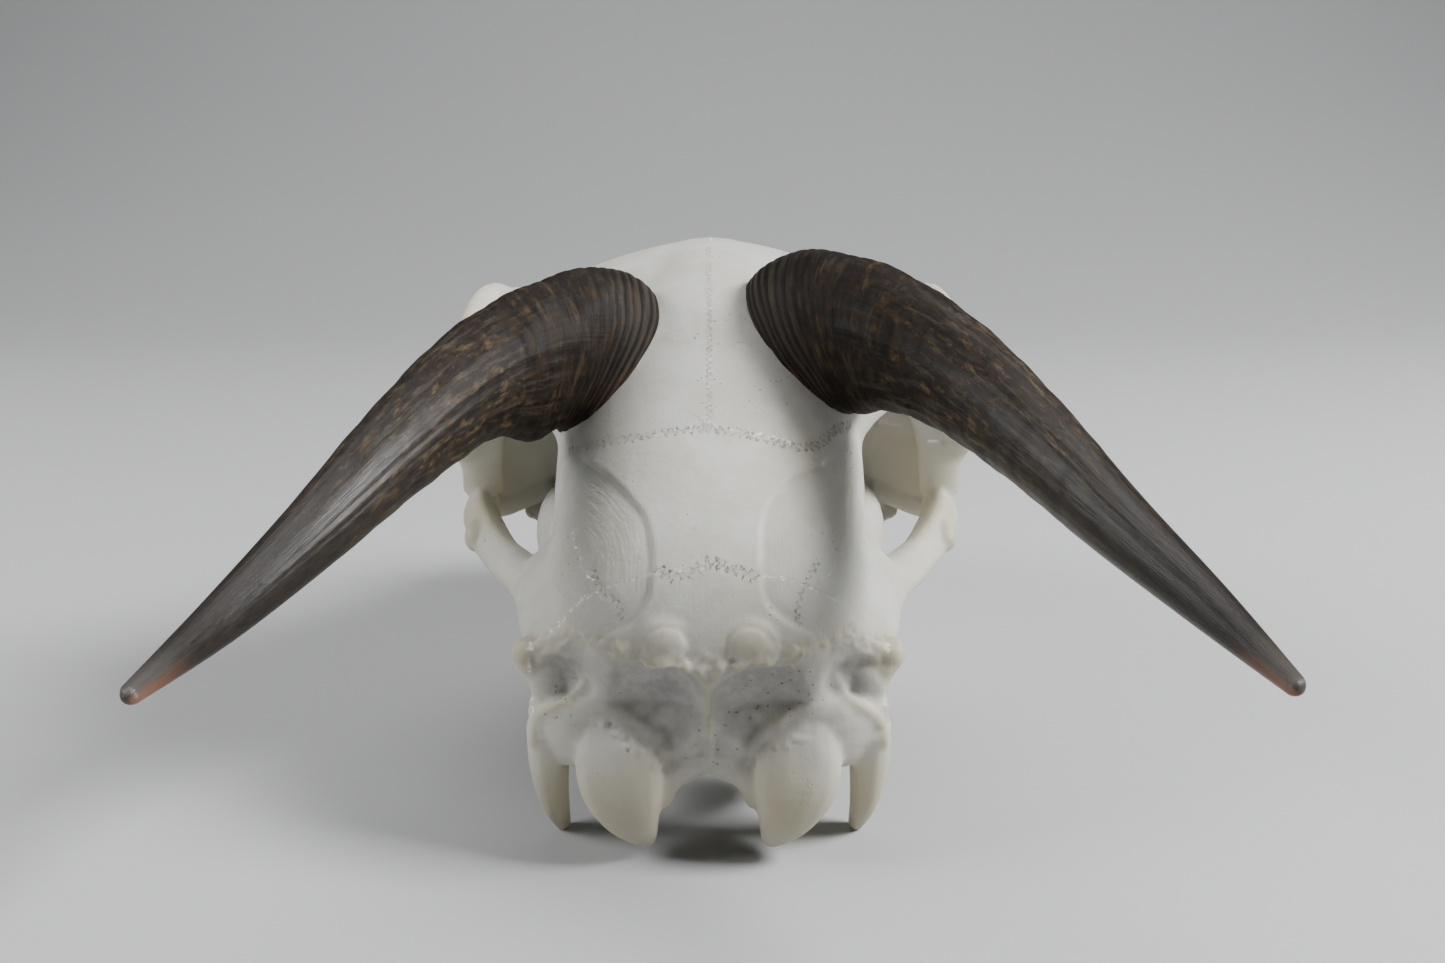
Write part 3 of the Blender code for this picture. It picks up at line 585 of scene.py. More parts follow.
@dataclass(frozen=True)
class Muzzle(Form):
    """The face from the orbits to the nose, the jaw's edge, the nasal plates and the nose's toes."""

    middle: tuple = (
        Skin(
            (
                Section(101, 45.5, 104.0, 50.0, 78, 2.0),
                Section(110, 45.3, 104.0, 46.0, 76, 2.0),
                Section(117, 43.0, 101.4, 42.0, 73, 2.0),
                Section(124, 38.5, 97.2, 38.0, 69, 2.1),
                Section(131, 33.2, 92.2, 34.0, 64, 2.2),
                Section(139, 28.6, 86.4, 30.0, 57, 2.25),
                Section(148, 24.2, 79.4, 26.0, 50, 2.2),
                Section(158, 20.2, 71.8, 23.0, 44, 2.2),
                Section(168, 17.2, 64.2, 20.0, 38, 2.2),
                Section(177, 14.5, 57.5, 15.0, 32, 2.2),
            ),
            32,
        ),
        Skin(
            (
                Section(77, 21.0, 47.0, 27.0, 37, 2.6),
                Section(83, 28.0, 50.0, 16.0, 32, 2.8),
                Section(92, 31.0, 52.0, 13.5, 29, 2.8),
                Section(103, 32.8, 56.0, 13.0, 28, 2.6),
                Section(114, 33.4, 58.0, 13.0, 29, 2.5),
                Section(124, 30.4, 58.0, 13.5, 29, 2.5),
                Section(134, 26.0, 54.0, 14.0, 29, 2.4),
                Section(144, 21.4, 48.0, 15.0, 29, 2.3),
                Section(154, 17.2, 42.0, 15.5, 28, 2.2),
                Section(163, 14.6, 36.0, 14.5, 26, 2.2),
                Section(172, 13.4, 30.0, 12.5, 22, 2.2),
            ),
            32,
        ),
    )
    masses: tuple = (
        Bar(
            ((26.0, 79, 17), (27.2, 90, 15), (26.2, 104, 14.5), (23.4, 122, 14.5), (19.0, 145, 16.5)),
            ((4.5, 5.5), (6.2, 7.0), (6.4, 7.5), (5.2, 7.0), (3.4, 3.6)),
        ),
        Ball((29.6, 111, 29), (6.0, 15, 9)),
        Ball((22.0, 84, 38), (9, 8, 15)),
        Ball((37.0, 104, 52), (12.5, 15, 8.0), (0, 14, -6)),
        Ball((31.0, 106, 44), (7.5, 15, 13)),
    )
    carved_middle: tuple = (
        Skin(
            (
                Section(128, 7.0, 62.0, 38.0, 50, 2.1),
                Section(140, 12.0, 70.0, 31.0, 50, 2.2),
                Section(152, 14.6, 70.5, 26.5, 47, 2.2),
                Section(163, 14.4, 65.5, 20.5, 42, 2.2),
                Section(174, 12.8, 60.5, 16.5, 36, 2.2),
                Section(186, 11.6, 58.0, 12.0, 30, 2.2),
                Section(200, 11.6, 56.0, 10.0, 28, 2.2),
            ),
            22,
        ),
        Slab(
            -30,
            30,
            ((153, 92), (157.5, 69), (161, 58), (174, 34), (184, 16), (180, 5), (215, 5), (215, 92)),
        ),
    )
    fine_middle: tuple = (
        Skin(
            (
                PlateSection(122, 13.0, 101.6, 97.0, 7),
                PlateSection(130, 13.4, 95.0, 90.4, 7),
                PlateSection(140, 12.6, 87.2, 82.0, 6),
                PlateSection(150, 12.0, 79.8, 74.0, 5),
                PlateSection(160, 11.4, 72.8, 66.6, 4),
                PlateSection(169, 9.4, 66.6, 61.6, 3.2),
                PlateSection(177, 4.4, 60.8, 58.6, 2.4),
            ),
            24,
        ),
    )
    fine: tuple = (
        Bar(
            ((9.6, 158, 16.5), (9.9, 169, 13.4), (10.2, 179, 10.8), (8.4, 186, 9.4), (5.0, 189.2, 9.2)),
            ((3.4, 2.6), (3.7, 2.4), (4.0, 2.2), (3.8, 2.1), (1.8, 1.6)),
        ),
        Bar(
            ((15.8, 155, 56), (15.4, 162, 43), (14.4, 169, 31), (13.0, 177, 19), (11.2, 184, 11.5)),
            ((1.5, 3.4), (1.7, 4.0), (1.9, 4.4), (2.1, 4.4), (2.2, 2.4)),
            upright=(0, -0.8, 0.6),
        ),
        Bar(((2.3, 154, 16.8), (2.1, 170, 13.2), (2.5, 185, 9.8)), ((1.7, 1.9), (1.5, 1.7), (1.5, 1.4))),
    )


@dataclass(frozen=True)
class Orbit(Form):
    """The eye's bowl, open behind into the space of the chewing muscle, with its rim and rear bar."""

    masses: tuple = (
        Bar(
            ((29.8, 46, 59), (31.0, 58, 57.5), (32.4, 70, 55), (33.2, 82, 51), (33, 92, 48)),
            ((4.5, 5.5), (5.4, 6.8), (5.8, 8.0), (6.2, 8.4), (6.5, 7.4)),
        ),
        Bar(((34, 89, 54), (39, 87.5, 51.5), (43, 88, 51.5)), ((4.2, 4.6), (3.8, 4.4), (3.8, 4.6))),
    )
    carved: tuple = (
        Ball((46.5, 98.0, 76.0), (21.0, 18.5, 17.5), (0, 0, 12)),
        Ball((38.0, 92.0, 75.0), (15.0, 16.5, 14.5)),
        Bar(
            ((38.4, 92, 75), (42.2, 80, 73), (45.4, 68, 70.5), (46.0, 54, 67)),
            ((9.5, 13.5), (9.0, 13.5), (8.8, 12.5), (7.4, 9.0)),
        ),
        Bar(((39.0, 89, 58), (42.0, 75, 54), (42.6, 60, 48)), ((4.6, 7.0), (5.6, 11.0), (5.0, 8.6))),
    )
    fine: tuple = (
        Bar(
            ((43.0, 84.5, 92), (46.5, 80.8, 84), (49.0, 78.8, 76), (50.0, 77.8, 68), (50.2, 77.2, 60)),
            ((8.5, 2.8), (6.8, 2.3), (5.4, 2.1), (4.8, 2.1), (4.6, 2.6)),
            upright=(0, 1, 0),
        ),
        Bar(
            ((42.5, 84, 90.5), (47.5, 90, 92.4), (48.6, 99, 93.6), (47.0, 108, 92.6), (42.5, 115, 90.0)),
            ((3.6, 2.6), (4.2, 2.6), (4.4, 2.4), (4.2, 2.6), (3.6, 2.8)),
        ),
        Bar(
            ((34, 88, 57.0), (38.6, 85.5, 56.4), (42.2, 84.0, 55.4), (46.6, 82.5, 54.0), (49.8, 80.5, 54.4)),
            ((3.2, 3.4), (3.2, 3.4), (3.0, 3.2), (3.0, 3.0), (2.6, 3.0)),
        ),
        Bar(
            ((50, 81.5, 68), (46, 84.2, 67.5), (41, 86.6, 67), (36, 88.6, 67.5), (31, 89.5, 68)),
            ((2.2, 11), (2.4, 12.5), (2.8, 13.0), (3.0, 14.0), (3.4, 14.0)),
            upright=(0, -0.25, 1),
        ),
    )
    half_spread: float = 49.7
    ahead: float = 99.0
    up: float = 76.0
    half_length: float = 20.5
    half_height: float = 18.6
    out: float = 1.2

    def rim(self) -> Bar:
        """The raised rim, stouter behind and below.

        Returns:
            A bar that runs once round the eye's opening.
        """
        path = []
        sizes = []
        for turn in range(-180, 181, 24):
            c, s = math.cos(math.radians(turn)), math.sin(math.radians(turn))
            rear = 0.5 - 0.5 * c
            low = max(0.0, -s)
            across = self.half_spread - 3.9 * c + 0.8 * s
            ahead = self.ahead + (self.half_length + self.out) * c
            path.append((across, ahead, self.up + (self.half_height + self.out) * s))
            sizes.append((2.2 + 0.4 * rear + 0.4 * low, 2.6 + 1.0 * rear + 1.0 * low))
        return Bar(tuple(path), tuple(sizes), upright=(0.3, 0.2, 0.93), steps=48)


@dataclass(frozen=True)
class CheekArch(Form):
    """The shelf from the knob behind the ear, the ear's tube, and the arch on to the orbit."""

    masses: tuple = (
        Bar(
            ((31.4, 19, 57.0), (31.8, 28, 56.6), (32.8, 36, 56.0), (34.6, 44, 55.8), (38.0, 51, 56.2)),
            ((3.4, 2.6), (5.0, 2.6), (5.6, 2.8), (6.0, 3.0), (6.2, 3.0)),
        ),
        Ball((28.5, 33, 50), (5.5, 12, 8)),
        Bar(
            (
                (26.6, 16, 59.0), (29.2, 24, 60.8), (30.8, 32, 61.6),
                (32.4, 40, 61.8), (33.8, 45.5, 60.4), (35.8, 49.5, 58.0),
            ),
            ((6.0, 3.0), (8.0, 3.6), (8.6, 3.9), (8.4, 4.0), (6.0, 3.4), (3.2, 2.4)),
            upright=(0.81, 0, 0.58),
        ),
        Bar(((25, 33, 42.5), (30, 30.5, 44.5), (34.6, 28, 46.4)), ((3.6, 3.6), (3.4, 3.4), (3.0, 3.0))),
    )
    fine: tuple = (
        Bar(
            ((43.6, 114, 57), (47.6, 102, 53.5), (50.6, 88, 54.5), (50.4, 76, 57.4)),
            ((3.2, 6.0), (2.9, 6.2), (2.8, 5.6), (3.4, 4.6)),
            steps=24,
        ),
        Bar(
            (
                (50.6, 81, 56.0), (50.6, 74, 57.0), (48.2, 66, 56.8),
                (44.4, 58, 56.4), (39.2, 51, 56.0), (35, 45, 56),
            ),
            ((3.2, 5.2), (4.0, 5.0), (4.5, 5.0), (4.6, 4.8), (5.6, 4.4), (5.0, 3.6)),
            steps=24,
            square=1.3,
        ),
        Ball((50.0, 63.2, 57.4), (2.6, 4.4, 3.2)),
    )


@dataclass(frozen=True)
class Nape(Form):
    """The rear of the skull: its crest and hollows, the condyles, and the processes beside them."""

    carved: tuple = (
        Ball((10.4, 0.0, 54.6), (14.4, 13.5, 16.0), (0, 0, -6)),
        Ball((26.8, 13.4, 57.0), (7.4, 3.5, 5.2), (0, 0, -30)),
        Bar(
            ((25.6, 4, 30.6), (25.4, 15, 30.6), (24.8, 26, 29.4)),
            ((1.9, 5.2), (1.9, 4.8), (1.6, 3.6)),
        ),
    )
    fine: tuple = (
        Bar(
            (
                (0, 9.6, 62.4), (6, 9.7, 63.8), (13, 11.3, 64.6),
                (20.5, 14.9, 64.4), (28, 18.3, 62.8), (33.4, 20.4, 58.6),
            ),
            ((1.0, 1.0), (1.1, 1.0), (1.1, 1.0), (1.0, 0.9), (1.1, 1.0), (2.0, 1.8)),
            steps=24,
        ),
        Ball((8.0, 11.6, 67.4), (4.8, 1.9, 4.2), (28, 10, 0)),
        Ball((8.4, 10.3, 64.8), (3.6, 1.5, 2.0), (14, 14, 0)),
        Ball((14.8, 11.9, 64.9), (2.7, 1.4, 1.5), (26, 8, 0)),
        Ball((34.4, 20.8, 57.8), (2.8, 3.2, 3.3)),
        Ball((29.6, 18.8, 52.6), (4.6, 3.4, 4.8)),
        Ball((28.0, 19.0, 50.2), (4.2, 3.6, 3.8)),
        Ball((13.4, 15.4, 48.2), (7.8, 4.3, 5.2)),
        Bar(
            ((33.4, 21.0, 56.6), (31.4, 21.0, 51.6), (31.0, 20.2, 47.0), (31.2, 18.6, 41.0)),
            ((3.0, 4.0), (2.6, 4.4), (2.7, 4.4), (3.4, 5.0)),
            upright=(0, 1, 0),
        ),
        Bar(
            (
                (19.8, 13.8, 51.4), (18.4, 11.6, 47.2), (17.2, 9.4, 42.0), (16.1, 7.8, 36.4),
                (14.4, 7.0, 30.6), (12.3, 6.8, 25.8), (11.3, 7.0, 23.6),
            ),
            ((2.6, 2.4), (5.6, 3.7), (7.9, 4.5), (8.0, 5.0), (5.8, 4.6), (2.9, 3.0), (1.2, 1.6)),
            upright=(0, 1, 0.2),
            steps=20,
            square=2.7,
        ),
        Bar(
            ((25.0, 13.4, 50.0), (19.6, 11.8, 50.2), (13.6, 11.2, 46.0), (8.8, 11.0, 41.0)),
            ((2.5, 3.0), (2.4, 3.6), (2.4, 4.2), (2.3, 3.4)),
        ),
        Bar(
            ((0, 11, 41.6), (4, 10.6, 39.8), (8, 10, 36.4), (10, 9.4, 31)),
            ((2.6, 3.0), (2.6, 3.0), (2.8, 3.2), (2.4, 3.0)),
        ),
        Ball((15.8, 15.5, 38), (7.4, 8, 9)),
        Ball((9.4, 11.6, 41.6), (3.6, 3.6, 4.6)),
        Bar(
            (
                (31.0, 17.8, 44), (31.1, 17.4, 36.4), (30.9, 17.2, 29.4),
                (30.2, 17.0, 23.4), (28.9, 17.0, 18.0),
            ),
            ((4.0, 5.6), (4.0, 5.4), (3.4, 4.8), (2.6, 3.6), (1.4, 1.8)),
            upright=(0, 1, 0.1),
        ),
        Bar(
            (
                (21.0, 13.0, 50.5), (25.0, 13.4, 51.5), (29.5, 15.0, 49.0),
                (32.8, 15.8, 44.0), (33.4, 15.8, 38.0),
            ),
            ((1.3, 1.3), (1.4, 1.4), (1.5, 1.5), (1.5, 1.5), (1.3, 1.3)),
        ),
        Bar(
            ((14.0, 16, 43.6), (21.0, 13.9, 44.4), (26.0, 14.6, 44.4), (32.0, 17.6, 42.6)),
            ((4.4, 7.6), (4.6, 8.2), (4.2, 8.0), (3.4, 7.4)),
            square=2.3,
        ),
    )
    passage: Bar = Bar(
        ((0, -6, 24.6), (0, 8, 27.0), (0, 20, 34.0), (0, 32, 44.0), (0, 42, 52.0)),
        ((9.8, 10.0), (9.8, 10.2), (10.2, 10.0), (10, 10), (7, 7)),
        upright=(0, 0.3, 0.95),
        square=1.2,
    )


# Horn sheaths


@dataclass(frozen=True)
class HornPath:
    """A horn's middle line and the sizes of its ovals along it."""

    name: str
    side: int
    path: tuple[Point, ...]
    long: tuple[float, ...] = (14, 17, 13.4, 10.4, 7.9, 5.6, 3.5, 1.3)
    short: tuple[float, ...] = (10, 12.5, 10.8, 8.8, 6.8, 4.7, 3.0, 1.1)
    leans: tuple[float, ...] = (10, 10, 14, 20, 26, 32, 36, 40)
    keel: float = 0.10
    base: float = 0.34
    base_flat: float = 0.20
    base_flare: float = 0.16
    root: float = -0.03
    crowding: float = 1.3
    lip: float = 3.6
    lip_at: float = 0.355
    lip_width: float = 0.055

    def points(self) -> list[Vector]:
        """The middle line, in metres."""
        return [at((self.side * across, ahead, up)) for across, ahead, up in self.path]

    def rings(self, steps: int, sides: int) -> list[list[Vector]]:
        """Oval rings along the horn, with a blunt keel above, from a little inside the bone.

        Args:
            steps: How many gaps there are between the rings.
            sides: How many points a ring has.

        Returns:
            The rings' points, in metres.
        """
        rings = []
        turns = [2 * math.pi * k / sides for k in range(sides)]
        shares = [self.root + (1 - self.root) * (i / steps) ** self.crowding for i in range(steps + 1)]
        for t, (centre, out, up) in zip(shares, frames(self.points(), shares, Vector((0, 0, 1)))):
            base = max(0.0, 1 - t / self.base)
            lip = self.lip * MM * math.exp(-(((t - self.lip_at) / self.lip_width) ** 2))
            lean = -self.side * math.radians(between(self.leans, t))
            long_way = (up * math.cos(lean) - out * math.sin(lean)) * between(self.long, t) * MM
            short_way = (out * math.cos(lean) + up * math.sin(lean)) * between(self.short, t) * MM
            ring = []
            for q in turns:
                c, s = math.cos(q), math.sin(q)
                keel = 1 + self.keel * max(0.0, c) ** 8
                flare = 1 + self.base_flare * base * max(0.0, -c) ** 2
                flat = 1 - self.base_flat * base * max(0.0, -self.side * s)
                point = centre + long_way * keel * flare * c + short_way * flat * s
                ring.append(point + long_way.normalized() * lip * c * max(0.0, -c))
            rings.append(ring)
        return rings

    def core(self) -> Bar:
        """The swelling of the forehead that carries the horn."""
        return Bar(self.path[:3], ((9.6, 10.0), (8.8, 11.5), (6.5, 8.0)))


HORN_LEFT = HornPath(
    "horn_left",
    LEFT,
    (
        (15.6, 77, 85), (22.4, 70, 95.8), (32.0, 61, 100.8), (43.6, 45.5, 102.0),
        (54.0, 22, 100.6), (62.8, -2, 98.8), (70.2, -27, 99.6), (75.4, -50.4, 103.4),
    ),
)
HORN_RIGHT = HornPath(
    "horn_right",
    RIGHT,
    (
        (12.4, 80, 88), (20.4, 73, 98.2), (32.0, 62.5, 104.0), (45.4, 46, 103.8),
        (56.2, 23, 102.4), (65.0, -2, 101.2), (72.8, -27, 102.0), (78.0, -50, 104.4),
    ),
    lip=1.8,
    lip_at=0.30,
)


# Working over the bone's surface


class Stroke(Enum):
    """What a line does to the surface."""

    RIDGE = "a line that is raised, or cut where its height is below zero"
    STEP = "a step down to the outer side"
    ROUGH = "a rough band"


@dataclass(frozen=True)
class Line:
    """A line worked into the bone: its runs of pixels in the photograph, middle only or left and right."""

    name: str
    stroke: Stroke
    height: float
    width: float
    runs: tuple[tuple[Pair, ...], ...]
    tint: float = 0.0
    fall: float = 12.0
    taper: float = 0.15


@dataclass(frozen=True)
class Seam:
    """A suture: its zigzag's swing, its strength, and its line in the photograph or through points."""

    name: str
    swing: float
    strength: float
    pixels: tuple[Pair, ...] = ()
    points: tuple[Point, ...] = ()
    paired: bool = False


class Tone(Enum):
    """A patch's colour: cream as on worn swellings, or grey painted shade over the nape's hollows."""

    CREAM = "cream"
    GREY = "grey"


@dataclass(frozen=True)
class Blush:
    """A soft patch of colour on both sides of the bone: a cream tint, or painted shade in grey."""

    centre: Point
    radius: float
    amount: float
    tone: Tone = Tone.CREAM


TEMPORAL_LEFT = (
    (573, 447), (588, 460), (612, 477), (633, 498), (646, 516), (652, 537),
    (654, 556), (653, 575), (651, 593), (645, 607), (632, 624), (609, 635),
)
TEMPORAL_RIGHT = (
    (837, 453), (809, 467), (784, 484), (768, 502), (761, 523), (760, 547),
    (760, 568), (761, 589), (768, 607), (784, 621), (809, 633),
)
LINES = (
    Line("temporal line", Stroke.STEP, 0.6, 0.5, (TEMPORAL_LEFT, TEMPORAL_RIGHT)),
    Line("temporal ridge", Stroke.RIDGE, 0.2, 0.6, (TEMPORAL_LEFT, TEMPORAL_RIGHT)),
    Line("nape's midline", Stroke.RIDGE, 0.7, 0.5, (((709, 684), (709, 700), (709, 740), (708, 768)),), 0.2),
    Line("nape's spine", Stroke.RIDGE, 0.6, 0.8, (((696, 664), (709, 683), (722, 664)),), 0.4),
    Line(
        "crest, sides", Stroke.ROUGH, 0.5, 2.0,
        (
            ((518, 641), (545, 642), (575, 640), (600, 645), (630, 660)),
            ((900, 641), (870, 640), (842, 640), (815, 648), (790, 660)),
        ),
        0.5,
    ),
    Line(
        "crest, middle", Stroke.ROUGH, 0.5, 2.2,
        (((630, 655), (665, 665), (709, 664), (750, 665), (790, 655)),),
        0.5,
    ),
    Line(
        "swelling's rim", Stroke.RIDGE, -0.22, 0.6,
        (
            ((640, 656), (643, 640), (653, 630), (667, 627), (681, 631), (690, 645)),
            ((727, 652), (729, 638), (738, 629), (751, 626), (765, 632), (775, 646)),
        ),
        0.8,
    ),
    Line(
        "arched ridge", Stroke.RIDGE, 0.7, 1.1,
        (
            ((590, 675), (574, 697), (553, 707), (538, 720), (533, 745)),
            ((832, 670), (845, 696), (862, 707), (880, 722), (885, 745)),
        ),
        0.6,
    ),
    Line(
        "upper hollow", Stroke.RIDGE, 0.45, 0.8,
        (
            ((707, 690), (690, 672), (665, 664), (640, 668)),
            ((711, 690), (728, 674), (750, 664), (775, 664)),
        ),
    ),
    Line(
        "condyle's edge", Stroke.ROUGH, 0.7, 1.0,
        (
            ((590, 727), (610, 726), (626, 745), (648, 760), (662, 770)),
            ((825, 727), (808, 730), (790, 742), (768, 752), (752, 768)),
        ),
    ),
    Line(
        "groove over the condyle", Stroke.RIDGE, -0.25, 1.1,
        (
            ((606, 712), (626, 722), (644, 745), (668, 762)),
            ((808, 712), (790, 724), (770, 744), (748, 760)),
        ),
    ),
    Line(
        "fold of the nape", Stroke.RIDGE, -0.3, 1.0,
        (((640, 722), (660, 704), (690, 706)), ((778, 724), (760, 706), (735, 712), (722, 738))),
    ),
)
SEAMS = (
    Seam(
        "coronal", 1.4, 0.8,
        (
            (566, 452), (600, 444), (640, 437), (680, 431), (720, 430),
            (757, 437), (790, 446), (815, 445), (835, 430), (852, 424),
        ),
    ),
    Seam(
        "lambdoid", 1.5, 1.0,
        ((656, 566), (672, 577), (690, 574), (706, 562), (722, 566), (742, 572), (760, 580)),
    ),
    Seam(
        "squamous, left", 0.8, 1.0,
        ((592, 566), (596, 580), (604, 592), (615, 600), (620, 612), (618, 622)),
    ),
    Seam(
        "squamous, right", 0.8, 0.8,
        ((820, 558), (812, 572), (806, 582), (800, 600), (798, 615), (802, 628)),
    ),
    Seam("between the frontals", 0.8, 0.4, ((708, 246), (709, 300), (709, 360), (709, 430))),
    Seam(
        "between the nasals", 0.25, 0.6,
        points=((0, 124, 101), (0, 140, 87.2), (0, 158, 74), (0, 176, 61)),
    ),
    Seam(
        "nasal and frontal", 0.9, 0.7,
        points=((0, 121, 103), (7, 122, 102), (13, 126, 97)), paired=True,
    ),
    Seam(
        "nasal and maxilla", 0.4, 0.6,
        points=((13.4, 128, 93), (13.6, 140, 84), (13.2, 150, 76)), paired=True,
    ),
    Seam(
        "maxilla and lacrimal", 0.6, 0.6,
        points=((37, 122, 68), (34, 131, 70), (29, 137, 76), (26, 137, 84)), paired=True,
    ),
    Seam(
        "frontal and lacrimal", 0.6, 0.6,
        points=((47, 112, 90), (38, 120, 91), (28, 134, 88)), paired=True,
    ),
    Seam(
        "maxilla and premaxilla", 0.5, 0.6,
        points=((19.5, 149, 66), (18.6, 157, 48), (16.0, 167, 26)), paired=True,
    ),
    Seam(
        "cheek and maxilla", 0.6, 0.7,
        points=((46, 118, 62), (44, 112, 56), (42, 103, 50), (40, 96, 46)), paired=True,
    ),
    Seam(
        "cheek and temple", 0.4, 0.9,
        points=((53, 64, 62), (53.6, 64.4, 58), (52, 70, 54)), paired=True,
    ),
)
BLUSHES = (
    Blush((14.5, 6, 34), 12, 0.9),
    Blush((30.8, 16, 30), 11, 0.7),
    Blush((33, 20, 58), 6, 0.8),
    Blush((8.2, 8, 67), 5.5, 0.8),
    Blush((16.4, 11, 65), 4.0, 0.8),
    Blush((26, 16, 63.5), 6, 0.5),
    Blush((50, 66, 58), 12, 0.6),
    Blush((50, 84, 62), 14, 0.6),
    Blush((30, 100, 60), 22, 0.5),
    Blush((32, 80, 70), 14, 0.5),
    Blush((27, 105, 18), 24, 0.5),
    # The grey patches below are painted shade over the nape's hollows.
    Blush((9, 9.5, 57), 9.5, 0.85, Tone.GREY),
    Blush((15, 11, 59), 7, 0.75, Tone.GREY),
    Blush((26, 15, 58), 6.5, 0.8, Tone.GREY),
    Blush((4, 10, 50), 9, 0.55, Tone.GREY),
    Blush((22, 13, 50), 5, 0.4, Tone.GREY),
)


class Surface:
    """The whole bone's mesh as arrays: its points in metres, normals, edges and painted values."""

    reach: float = 4.5
    groove: float = 0.10
    far: float = 99.0

    def __init__(self, obj: bpy.types.Object) -> None:
        """Reads the object's mesh.

        Args:
            obj: The whole bone.
        """
        self.obj = obj
        mesh = obj.data
        count = len(mesh.vertices)
        self.points = np.empty(count * 3, np.float64)
        mesh.vertices.foreach_get("co", self.points)
        self.points = self.points.reshape(-1, 3)
        self.edges = np.empty(len(mesh.edges) * 2, np.int64)
        mesh.edges.foreach_get("vertices", self.edges)
        self.edges = self.edges.reshape(-1, 2)
        self.read_normals()
        self.tree = self.face_tree()
        self.lift = np.zeros(count)
        self.cream = np.zeros(count)
        # Painted shade from the grey patches.
        self.grey = np.zeros(count)
        self.seam = np.zeros((count, 3))
        self.seam[:, 0] = self.far
        self.grain = np.zeros((count, 3))
        # Depth in hollows, which the bone's finish paints as shade.
        self.hollow = np.zeros(count)
        self.wear = np.zeros(count)

    def read_normals(self) -> None:
        """Reads the mesh's vertex normals again."""
        self.normals = np.empty(len(self.points) * 3, np.float64)
        self.obj.data.vertices.foreach_get("normal", self.normals)
        self.normals = self.normals.reshape(-1, 3)

    def face_tree(self) -> BVHTree:
        """The surface as it now lies, for casting and measuring."""
        faces = [tuple(face.vertices) for face in self.obj.data.polygons]
        return BVHTree.FromPolygons([Vector(point) for point in self.points], faces)

    def point_tree(self) -> KDTree:
        """The points as they now lie, for finding the nearest."""
        return balanced(self.points)

    def spread(self, values: np.ndarray, passes: int) -> np.ndarray:
        """Blurs a value over the surface.

        Args:
            values: One value for each point.
            passes: How many times it is blurred.

        Returns:
            The blurred values.
        """
        first, second = self.edges.T
        count = np.maximum(np.bincount(self.edges.ravel(), minlength=len(values)), 1)
        for _ in range(passes):
            near = np.bincount(first, values[second], len(values))
            near += np.bincount(second, values[first], len(values))
            values = 0.5 * values + 0.5 * near / count
        return values

    def hollowness(self, passes: int) -> np.ndarray:
        """How far each point lies under the mean of its surroundings, in metres."""
        means = np.stack([self.spread(self.points[:, axis], passes) for axis in range(3)], axis=1)
        return np.einsum("ij,ij->i", means - self.points, self.normals)

    def near_path(self, path: np.ndarray, reach: float) -> tuple[np.ndarray, ...]:
        """Finds the points near a path.

        Args:
            path: The path's points, closely spaced, in metres.
            reach: How near counts, in metres.

        Returns:
            The indices, their distances to the path, the signed distances across it, and the lengths
            along it, in metres.
        """
        low, high = path.min(0) - reach, path.max(0) + reach
        chosen = np.flatnonzero(np.all((self.points > low) & (self.points < high), axis=1))
        places = self.points[chosen]
        best = np.full(len(chosen), np.inf)
        which = np.zeros(len(chosen), np.int64)
        for k, point in enumerate(path):
            distance = np.linalg.norm(places - point, axis=1)
            closer = distance < best
            best[closer] = distance[closer]
            which[closer] = k
        keep = best < reach
        chosen, places, which = chosen[keep], places[keep], which[keep]
        ways = np.gradient(path, axis=0)
        ways /= np.maximum(np.linalg.norm(ways, axis=1, keepdims=True), 1e-9)
        length = np.concatenate([[0], np.cumsum(np.linalg.norm(np.diff(path, axis=0), axis=1))])
        offset = places - path[which]
        sideways = np.cross(ways[which], self.normals[chosen])
        across = np.einsum("ij,ij->i", offset, sideways)
        along = length[which] + np.einsum("ij,ij->i", offset, ways[which])
        return chosen, best[keep], across, along

    def seen_path(self, pixels: Sequence[Pair], view: PhotoView, spacing: int = 14) -> np.ndarray:
        """Lays a run of the photograph's pixels on the bone.

        Args:
            pixels: The run's columns and rows.
            view: The photograph's camera.
            spacing: How many points there are from one pixel to the next.

        Returns:
            The line's points, in metres, without those that miss or jump away.
        """
        steps = spacing * (len(pixels) - 1)
        columns, rows = zip(*pixels)
        found = []
        for i in range(steps + 1):
            hit = view.cast((between(columns, i / steps), between(rows, i / steps)), self.tree)
            if hit is not None and (not found or (hit - found[-1]).length < 6 * MM):
                found.append(hit)
        return np.array(found)

    def laid_path(self, points: Sequence[Point], side: int, spacing: int = 16) -> np.ndarray:
        """Lays a line through points onto the nearest bone.

        Args:
            points: The line's points, on the animal's left.
            side: The animal's left (1) or right (-1).
            spacing: How many points there are from one to the next.

        Returns:
            The line's points, in metres.
        """
        steps = spacing * (len(points) - 1)
        places = [at((side * across, ahead, up)) for across, ahead, up in points]
        found = [self.tree.find_nearest(between(places, i / steps))[0] for i in range(steps + 1)]
        return np.array(found)

    def noise(self, chosen: np.ndarray, scale: float, shift: float = 0.0) -> np.ndarray:
        """Smooth noise from -1 to 1 at chosen points, with cells of a size in millimetres."""
        cells = self.points[chosen] / (scale * MM) + shift
        return np.array([noise.noise(cell) for cell in cells])

